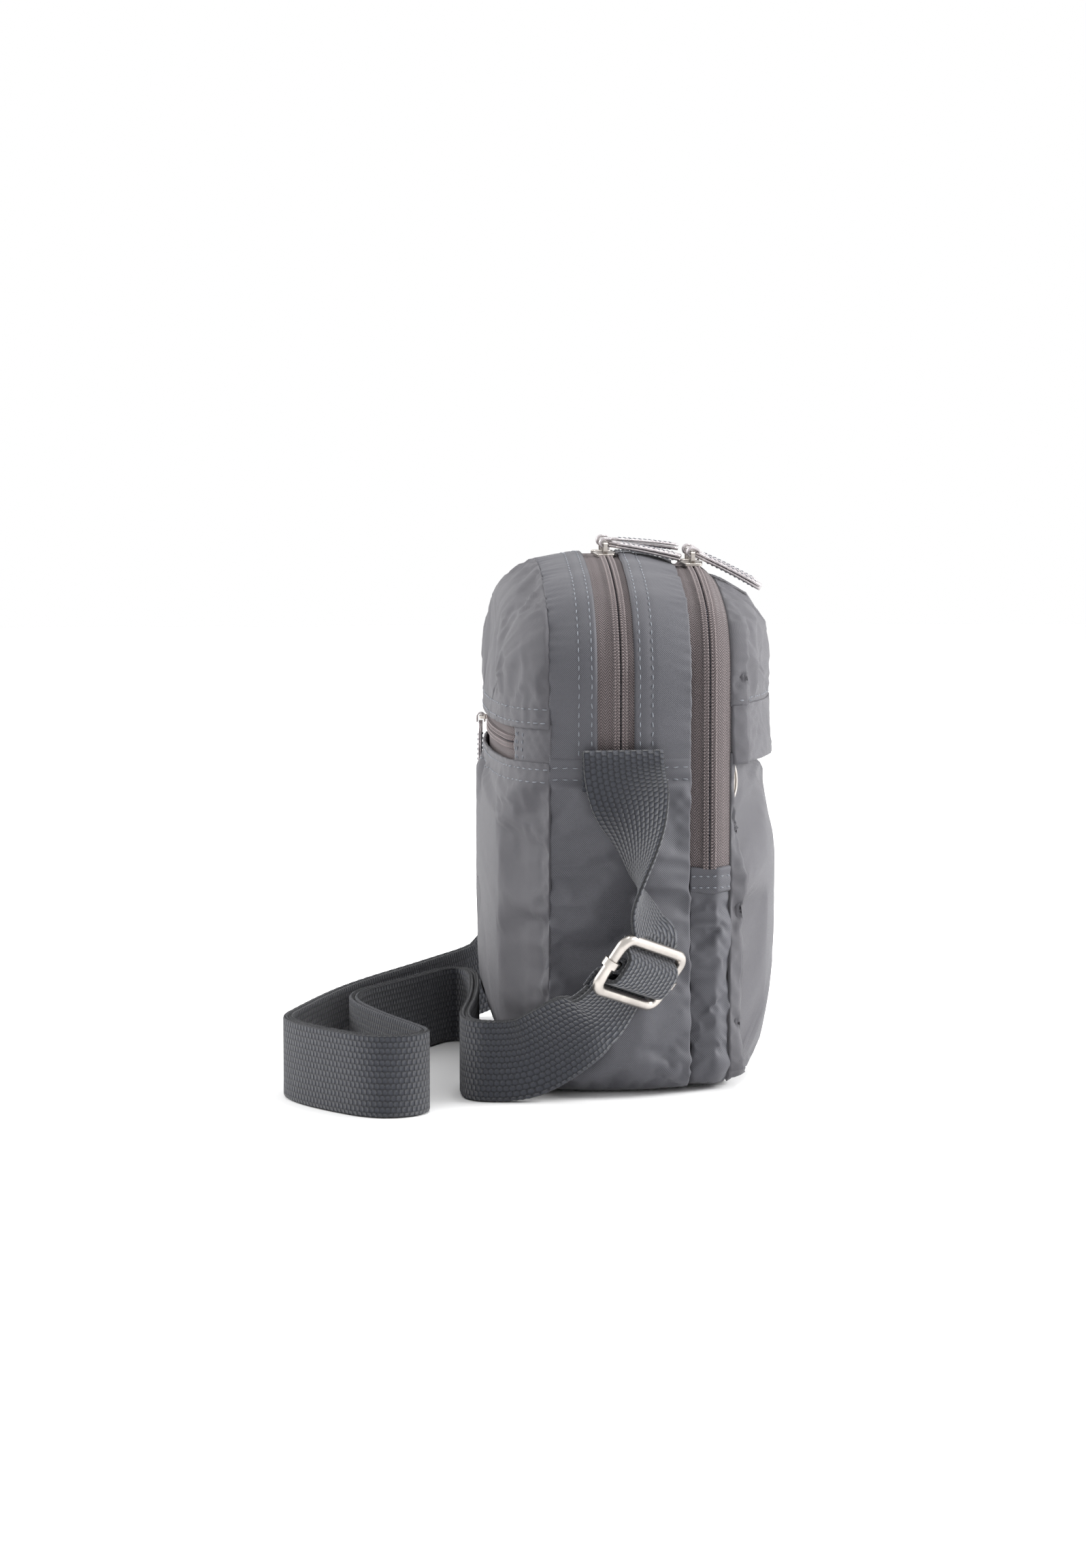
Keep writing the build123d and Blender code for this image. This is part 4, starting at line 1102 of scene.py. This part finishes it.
# ---- strap --------------------------------------------------------------------------
def nurbs(points, steps=24):
    """Points along a NURBS curve that has these points as its control points."""
    data = bpy.data.curves.new("route", "CURVE")
    data.dimensions = "3D"
    sp = data.splines.new("NURBS")
    sp.points.add(len(points) - 1)
    for p, co in zip(sp.points, points):
        p.co = (*co, 1)
    sp.order_u = 3
    sp.use_endpoint_u = True
    sp.resolution_u = steps
    o = bpy.data.objects.new("route", data)
    scene.collection.objects.link(o)
    bpy.context.view_layer.update()
    mesh = bpy.data.meshes.new_from_object(o)
    out = np.array([v.co[:] for v in mesh.vertices])
    bpy.data.objects.remove(o)
    return out


def lathe_section(width, thick, across=15):
    """Outline of a strip's section as points (across, through); strip uses the across value as the face's own
    v.
    """
    h, w = thick / 2, width / 2
    xs = np.linspace(-w + 0.9, w - 0.9, across)
    top = [(x, h) for x in xs]
    low = [(x, -h) for x in xs[::-1]]
    right = [(w - 0.25, 0.72 * h), (w, 0.0), (w - 0.25, -0.72 * h)]
    left = [(-w + 0.25, -0.72 * h), (-w, 0.0), (-w + 0.25, 0.72 * h)]
    ring = top + right + low + left
    return np.array(ring)


def strip(name, mid, wide, offset=0.0, width=32.0, thick=2.0, mat="web", body="bag", slot="webbing",
          step=0.9, scallop=0.13, cup=0.0, section=None):
    """A flat strap that follows points, with its width along wide, moved off by offset."""
    s = dist(mid)
    m = np.linspace(0, s[-1], max(8, int(s[-1] / step)))
    line = np.column_stack([np.interp(m, s, mid[:, k]) for k in range(3)])
    w = np.column_stack([np.interp(m, s, wide[:, k]) for k in range(3)])
    t = np.gradient(line, axis=0)
    t = t / np.linalg.norm(t, axis=1, keepdims=True)
    w = w - t * (w * t).sum(1, keepdims=True)
    w = w / np.linalg.norm(w, axis=1, keepdims=True)
    n = np.cross(t, w)
    line = line + n * offset
    ring = lathe_section(width, thick) if section is None else section
    k = len(ring)
    edge = np.abs(ring[:, 0]) > width / 2 - 0.5
    verts = np.empty((len(m), k, 3))
    uvs = np.empty((len(m), k, 2))
    for i in range(len(m)):
        a = ring[:, 0] * (1 + edge * scallop / (width / 2) * math.sin(m[i] * 2 * math.pi / 2.05))
        b = ring[:, 1] + cup * (1 - (2 * ring[:, 0] / width) ** 2)
        verts[i] = line[i] + a[:, None] * w[i] + b[:, None] * n[i]
        uvs[i, :, 0] = m[i]
        uvs[i, :, 1] = ring[:, 0] + np.where(ring[:, 1] < 0, 60.35, 0)
    faces = []
    for i in range(len(m) - 1):
        for j in range(k):
            q = (j + 1) % k
            faces.append((i * k + j, i * k + q, (i + 1) * k + q, (i + 1) * k + j))
    faces.append(tuple(range(k))[::-1])
    faces.append(tuple((len(m) - 1) * k + j for j in range(k)))
    o = put(name, to_frame(verts.reshape(-1, 3)), faces, mat, uvs.reshape(-1, 2), body=body, slot=slot)
    return o, to_frame(line)


def route(controls, half=16.0):
    """Evaluated middle line and width directions for controls (point, width direction)."""
    mid = nurbs([p for p, _ in controls])
    edge = nurbs([np.array(p, float) + half * np.array(w, float) / np.linalg.norm(w) for p, w in controls])
    return mid, edge - mid


UP = (0, 0, 1)
# the doubled strap's middle line from the buckle over the floor to the far ring
FLOOR = [(-95, 50), (-93, 69), (-72, 71), (-40, 66), (0, 62.5), (40, 61.5), (46, 72), (26, 84), (4, 99),
         (-17, 113), (-40, 114), (-70, 104), (-95, 93), (-112, 86), (-123, 94), (-123, 109), (-108, 124),
         (-92, 136), (-76, 142), (-54, 135), (-30, 127), (-4, 117), (22, 104), (50, 88), (78, 73), (98, 62)]
BUCKLE_AT = np.array([-109.2, 3.8, 52.8])
BX = np.array([0.686, -0.656, -0.313])
BZ = np.array([-0.715, -0.535, -0.447])
BX = BX / np.linalg.norm(BX)
BZ = BZ - BX * BZ.dot(BX)
BZ = BZ / np.linalg.norm(BZ)
BY = np.cross(BZ, BX)


def on_buckle(y, z):
    return tuple(BUCKLE_AT + BY * y + BZ * z)


def band_controls(shift, z_local):
    """Controls of one layer of the doubled strap; shift moves its ends apart."""
    across = tuple(-BX)
    out = [(on_buckle(-14.0, z_local), across), (on_buckle(-24.0, z_local - 0.8), (-0.62, 0.68, 0.39)),
           ((-100.5, 25.0, 31.5), (-0.25, 0.58, 0.78)), ((-96.0, 40.0, 20.5), (0, 0.3, 0.95))]
    out += [((x, y, 16.0), UP) for x, y in FLOOR]
    out += [((108.5, 50, 19), (0, 0.1, 1)), ((112.5, 33, 36), (0, 0.7, 0.7)),
            ((108.5, 16.5, 64), (0, 0.95, 0.3)),
            ((94.5 + shift, 9.5, 88), (0, 1, 0)), ((94.5 + shift, 9.5, 94), (0, 1, 0))]
    return out


def local_strip(name, points, mat="web", body="bag", width=32.0, thick=2.0, offset=0.0):
    """Webbing that follows points (y, z) of the buckle's plane."""
    controls = [(on_buckle(y, z), tuple(-BX)) for y, z in points]
    mid, wide = route(controls, width / 2)
    return strip(name, mid, wide, offset, width=width, thick=thick, mat=mat, body=body, step=0.5)


def strap():
    # near strap: sewn in behind the cross seam, turned down, twisted once on its way
    inner, outer = 91.3, 93.7
    controls = [((-inner, 9, 122), (0, 1, 0)), ((-inner, 9, 130), (0, 1, 0)), ((-inner, 9, 137.6), (0, 1, 0)),
                ((-outer, 9, 137.6), (0, 1, 0)), ((-outer - 1.4, 8.5, 127), (0.1, 1, 0)),
                ((-102.5, 5.0, 114), (0.62, 0.78, -0.05)), ((-105.5, 3.6, 101.5), (0.9, 0.42, -0.12)),
                ((-107.5, 4.0, 89), (0.99, 0.05, -0.13)), ((-108, 3.0, 78.5), (0.92, -0.36, -0.18)),
                ((-108, 0.8, 71.5), (0.8, -0.53, -0.28)), (on_buckle(14.6, -4.2), tuple(BX)),
                (on_buckle(11.5, -3.7), tuple(BX))]
    mid, wide = route(controls)
    near, _ = strip("strap_near", mid, wide)
    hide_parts("strap_anchor_near", "strap_drop")
    over_points = [(11.5, -3.7), (8.3, -2.7), (6.3, 3.6), (3.6, 4.8), (0, 4.8),
                   (-3.6, 4.8), (-6.3, 3.6), (-8.4, -2.9), (-11.2, -3.7), (-14.5, -3.6)]
    over, _ = local_strip("strap_over_bar", over_points)
    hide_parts("strap_buckle_pass")
    wrap_points = [(-14.5, -6.0), (-8.0, -5.8), (-3.0, -2.8), (-1.0, -2.5), (2.4, -2.4), (2.6, 0),
                   (2.4, 2.4), (-0.5, 2.4), (-2.6, 1.2), (-4.4, -5.4), (-7.4, -8.2), (-15.0, -8.2)]
    wrap, _ = local_strip("strap_bar_wrap_cloth", wrap_points, width=29.6, body="strap_bar", thick=1.7)
    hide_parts("strap_bar_wrap")
    for name, shift, z, side in (("outer", 2.9, -3.6, -1.15), ("inner", -2.9, -5.9, 1.15)):
        mid, wide = route(band_controls(shift, z))
        fade = np.clip(dist(mid) / 45, 0, 1)
        total = dist(mid)[-1]
        fade = np.minimum(fade, np.clip((total - dist(mid)) / 45, 0, 1))
        o, path = strip_layer(f"strap_{name}", mid, wide, side * fade)
        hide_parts(f"strap_{name}_rise", f"strap_{name}_floor", f"strap_{name}_return")
        round(float(dist(path)[-1]), 4)


def strip_layer(name, mid, wide, offsets):
    """A layer of the doubled strap: the middle line moved off by its own offset at each point."""
    t = np.gradient(mid, axis=0)
    t = t / np.linalg.norm(t, axis=1, keepdims=True)
    w = wide - t * (wide * t).sum(1, keepdims=True)
    w = w / np.linalg.norm(w, axis=1, keepdims=True)
    n = np.cross(t, w)
    return strip(name, mid + n * offsets[:, None], w * 16)


def far_ring():
    x, y, top, low, r = 94.5, 9.5, 111.0, 96.5, 2.9
    W = (0, 1, 0)
    tab = [(x - r, 133), (x - r, 120), (x - r, top), (x - r, top - 3.4), (x, top - 3.4), (x + r, top - 3.4),
           (x + r, top), (x + r - 0.6, 118), (x - r + 2.5, 134)]
    mid, wide = route([((a, y, z), W) for a, z in tab])
    o, _ = strip("ring_tab", mid, wide)
    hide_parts("strap_ring_tab")
    fold = [(x - r, 91), (x - r, low), (x - r, low + 3.4), (x, low + 3.4), (x + r, low + 3.4),
            (x + r, low), (x + r, 91)]
    mid, wide = route([((a, y, z), W) for a, z in fold])
    o, _ = strip("ring_fold", mid, wide, body="strap_ring")
    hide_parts("strap_ring_fold")


# ---- pulls --------------------------------------------------------------------------
def seat_axes(x_dir, z_dir):
    x, z = Vector(x_dir).normalized(), Vector(z_dir).normalized()
    return np.array(x), np.array(z.cross(x)), np.array(z)


def leather_pull(name, node, body, origin, x_dir, z_dir, tilt, flip=1, thin=1.0):
    """A strip of leather folded round the slider's bar and stitched along its edges."""
    ax, ay, az = seat_axes(x_dir, z_dir)
    c, s = math.cos(math.radians(tilt)), math.sin(math.radians(tilt))
    along = -(ay * c + az * s) * flip
    up = np.cross(ax, along) if flip < 0 else -np.cross(ax, along)
    if up.dot(az) < 0:
        up = -up
    o0 = np.array(origin)
    verts, faces, uvs, frames = [], [], [], []
    # section: across and through, as shares; stations: distance along and half width
    section = [(-1, 0.12), (-0.93, 0.9), (-0.6, 1.08), (0, 1.14), (0.6, 1.08), (0.93, 0.9), (1, 0.12),
               (0.9, 0.0), (-0.9, 0.0)]
    stations = [(1.6, 2.0), (4.0, 2.0), (4.8, 2.4), (5.6, 3.3), (6.6, 3.7), (9, 3.8), (14, 3.8), (20, 3.8),
                (26, 3.8), (30.0, 3.75), (31.2, 3.4), (31.9, 2.8)]
    for layer in (1, -1):
        base = len(verts)
        for d, hw in stations:
            open_ = 0.10 + 0.10 * smoothstep((d - 20) / 12)
            bow = 0.5 * thin * math.sin(d / 32 * math.pi)
            for a, b in section:
                h = layer * thin * (open_ + 1.12 * b) + bow
                verts.append(o0 + along * d + ax * hw * a + up * h)
                uvs.append((d, hw * a))
        k = len(section)
        for i in range(len(stations) - 1):
            for j in range(k):
                q = (j + 1) % k
                f = (base + i * k + j, base + i * k + q, base + (i + 1) * k + q, base + (i + 1) * k + j)
                faces.append(f if layer < 0 else f[::-1])
        faces.append(tuple(base + j for j in range(k)))
        faces.append(tuple(base + (len(stations) - 1) * k + j for j in range(k))[::-1])
        for side in (-1, 1):
            for d in np.arange(7.5, 30.5, 2.1):
                bow = 0.5 * thin * math.sin(d / 32 * math.pi)
                at_seam = o0 + along * d + ax * side * 2.95 + up * (layer * thin * 1.3 + bow)
                frames.append((at_seam, along, up * layer))
    # the fold round the bar
    base = len(verts)
    angles = np.linspace(-math.pi / 2, math.pi / 2, 9)
    for a in angles:
        for r in (1.27, 1.27 + 1.08 * thin):
            for side in (-2.0, 2.0):
                verts.append(o0 + ax * side + up * r * math.sin(a) - along * r * math.cos(a))
                uvs.append((r * a, side))
    for i in range(len(angles) - 1):
        b = base + 4 * i
        faces += [(b + 2, b + 3, b + 7, b + 6), (b, b + 4, b + 5, b + 1),
                  (b, b + 2, b + 6, b + 4), (b + 1, b + 5, b + 7, b + 3)]
    for end in (0, len(angles) - 1):
        b = base + 4 * end
        lead = [v + along * 2.2 for v in verts[b:b + 4]]
        k = len(verts)
        verts += lead
        uvs += [(2, 0)] * 4
        for p, q in ((0, 1), (1, 3), (3, 2), (2, 0)):
            faces.append((b + p, b + q, k + q, k + p))
    o = put(name, to_frame(np.array(verts)), faces, "leather", uvs, body=body, slot="pull_leather")
    bm = bmesh.new()
    bm.from_mesh(o.data)
    bmesh.ops.recalc_face_normals(bm, faces=bm.faces[:])
    bm.to_mesh(o.data)
    bm.free()
    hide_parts(node)
    scatter(name + "_stitches", frames, (1.5, 0.4, 0.4), "thread", body=body, slot="pull_leather")
    return o


def pulls():
    for name, radius, angle, y, droop in (("main_zip_near", 174.0, -4.6, ZIP_Y, 11.0),
                                          ("main_zip_far", 174.0, 0.6, ZIP_Y, 5.0),
                                          ("pocket_zip_near", 170.2, -4.9, POCKET_ZIP_Y, 27.0),
                                          ("pocket_zip_far", 170.2, 0.5, POCKET_ZIP_Y, 26.0)):
        a = math.radians(angle)
        origin = (radius * math.sin(a), y, 43 + radius * math.cos(a))
        leather_pull(name + "_strip", name + "_pull", name + "_pull", origin,
                     (math.cos(a), 0, -math.sin(a)), (math.sin(a), 0, math.cos(a)), droop)
    a = math.radians(6.4)
    origin = (481.5 * math.sin(a), -421.5 + 481.5 * math.cos(a), 139.4)
    leather_pull("back_zip_strip", "back_zip_pull", "back_zip_pull", origin,
                 (math.cos(a), -math.sin(a), 0), (math.sin(a), math.cos(a), 0), 0.0, flip=-1, thin=0.62)


# ---- hidden pieces ------------------------------------------------------------------
def inner_pieces():
    def ring(name, kind, inset, raised, y0, y1, mat, node, slot):
        loop = u_loop(kind, inset, raised, 150.0, 4.0)
        top = arch_loop(kind, inset, 150.0, 4.0, raised)
        full = np.concatenate([loop, top[::-1][1:-1]])
        ys = np.linspace(y0, y1, 9)
        lines = [np.column_stack([full[:, 0], np.full(len(full), y), full[:, 1]]) for y in ys]
        grid = np.stack(lines, axis=1)
        grid = np.concatenate([grid, grid[:1]])
        uv = grid_uv(grid)
        fall = np.sin(np.linspace(0, math.pi, 9))[None, :]
        out = grid + normals(grid) * (1.2 * waves(uv[..., 0], uv[..., 1], 61, 40) * fall)[..., None]
        out[-1] = out[0]
        surface(name, out, mat, 0.4, (node,), slot=slot)
    ring("lining_main", BODY, 14.0, 6.0, BACK_SEAM - 4, FRONT_SEAM + 4, "lining", "main_lining", "lining")
    ring("lining_pocket", POCKET, 20.0, 5.0, FRONT_SEAM - 1.6, POCKET_SEAM + 5, "lining",
         "front_pocket_lining", "lining")
    ring("binding_back", BODY, 6.3, 6.3, BACK_SEAM - 0.5, BACK_SEAM - 2.5, "lining",
         "seam_binding_back", "binding")
    ring("binding_front", BODY, 6.8, 6.8, FRONT_SEAM + 0.5, FRONT_SEAM + 2.5, "lining",
         "seam_binding_front", "binding")
    for name, node, half_w, z0, z1, y in (("divider", "divider_wall", 66, 8, 190, -19.05),
                                          ("back_bag", "back_pocket_lining", 54, 30.5, 123.5, 45.0)):
        xs, zs = np.linspace(-half_w, half_w, 40), np.linspace(z0, z1, 40)
        x, z = np.meshgrid(xs, zs, indexing="ij")
        grid = np.stack([x, y + 0.15 * waves(x, z, 71, 60), z], axis=2)
        surface(name + "_cloth", grid, "lining", 0.4, (node,), slot="lining")


def board():
    """Stiffener in the base with rounded corners and edges."""
    bm = bmesh.new()
    place = Matrix.Translation(Vector(at(0, 9.5, 3.2))) @ Matrix.Diagonal((0.136, 0.04, 0.002, 1))
    bmesh.ops.create_cube(bm, size=1, matrix=place)
    upright = [e for e in bm.edges if abs(e.verts[0].co.z - e.verts[1].co.z) > 0.001]
    bmesh.ops.bevel(bm, geom=upright, offset=0.008, segments=6, affect="EDGES", profile=0.5)
    flat = [e for e in bm.edges if abs(e.verts[0].co.z - e.verts[1].co.z) < 0.0001]
    bmesh.ops.bevel(bm, geom=flat, offset=0.0004, segments=2, affect="EDGES")
    mesh = bpy.data.meshes.new("base_stiffener")
    bm.to_mesh(mesh)
    bm.free()
    mesh.materials.append(MAT["board"])
    o = bpy.data.objects.new("base_stiffener", mesh)
    scene.collection.objects.link(o)
    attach(o, "bag")
    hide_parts("base_board")


def paint_cad():
    """Materials on the CAD nodes that stay."""
    for name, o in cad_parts.items():
        if o.hide_render:
            continue
        mat = "coil" if name.endswith("_coil") else "metal"
        o.data.materials.clear()
        o.data.materials.append(MAT[mat])


strap()
far_ring()
gusset_lower()
main_zip()
cross_seam_rows()
pocket_gusset()
pocket_tabs()
pocket_zip()
back_panel()
front_panel()
pulls()
inner_pieces()
board()
paint_cad()
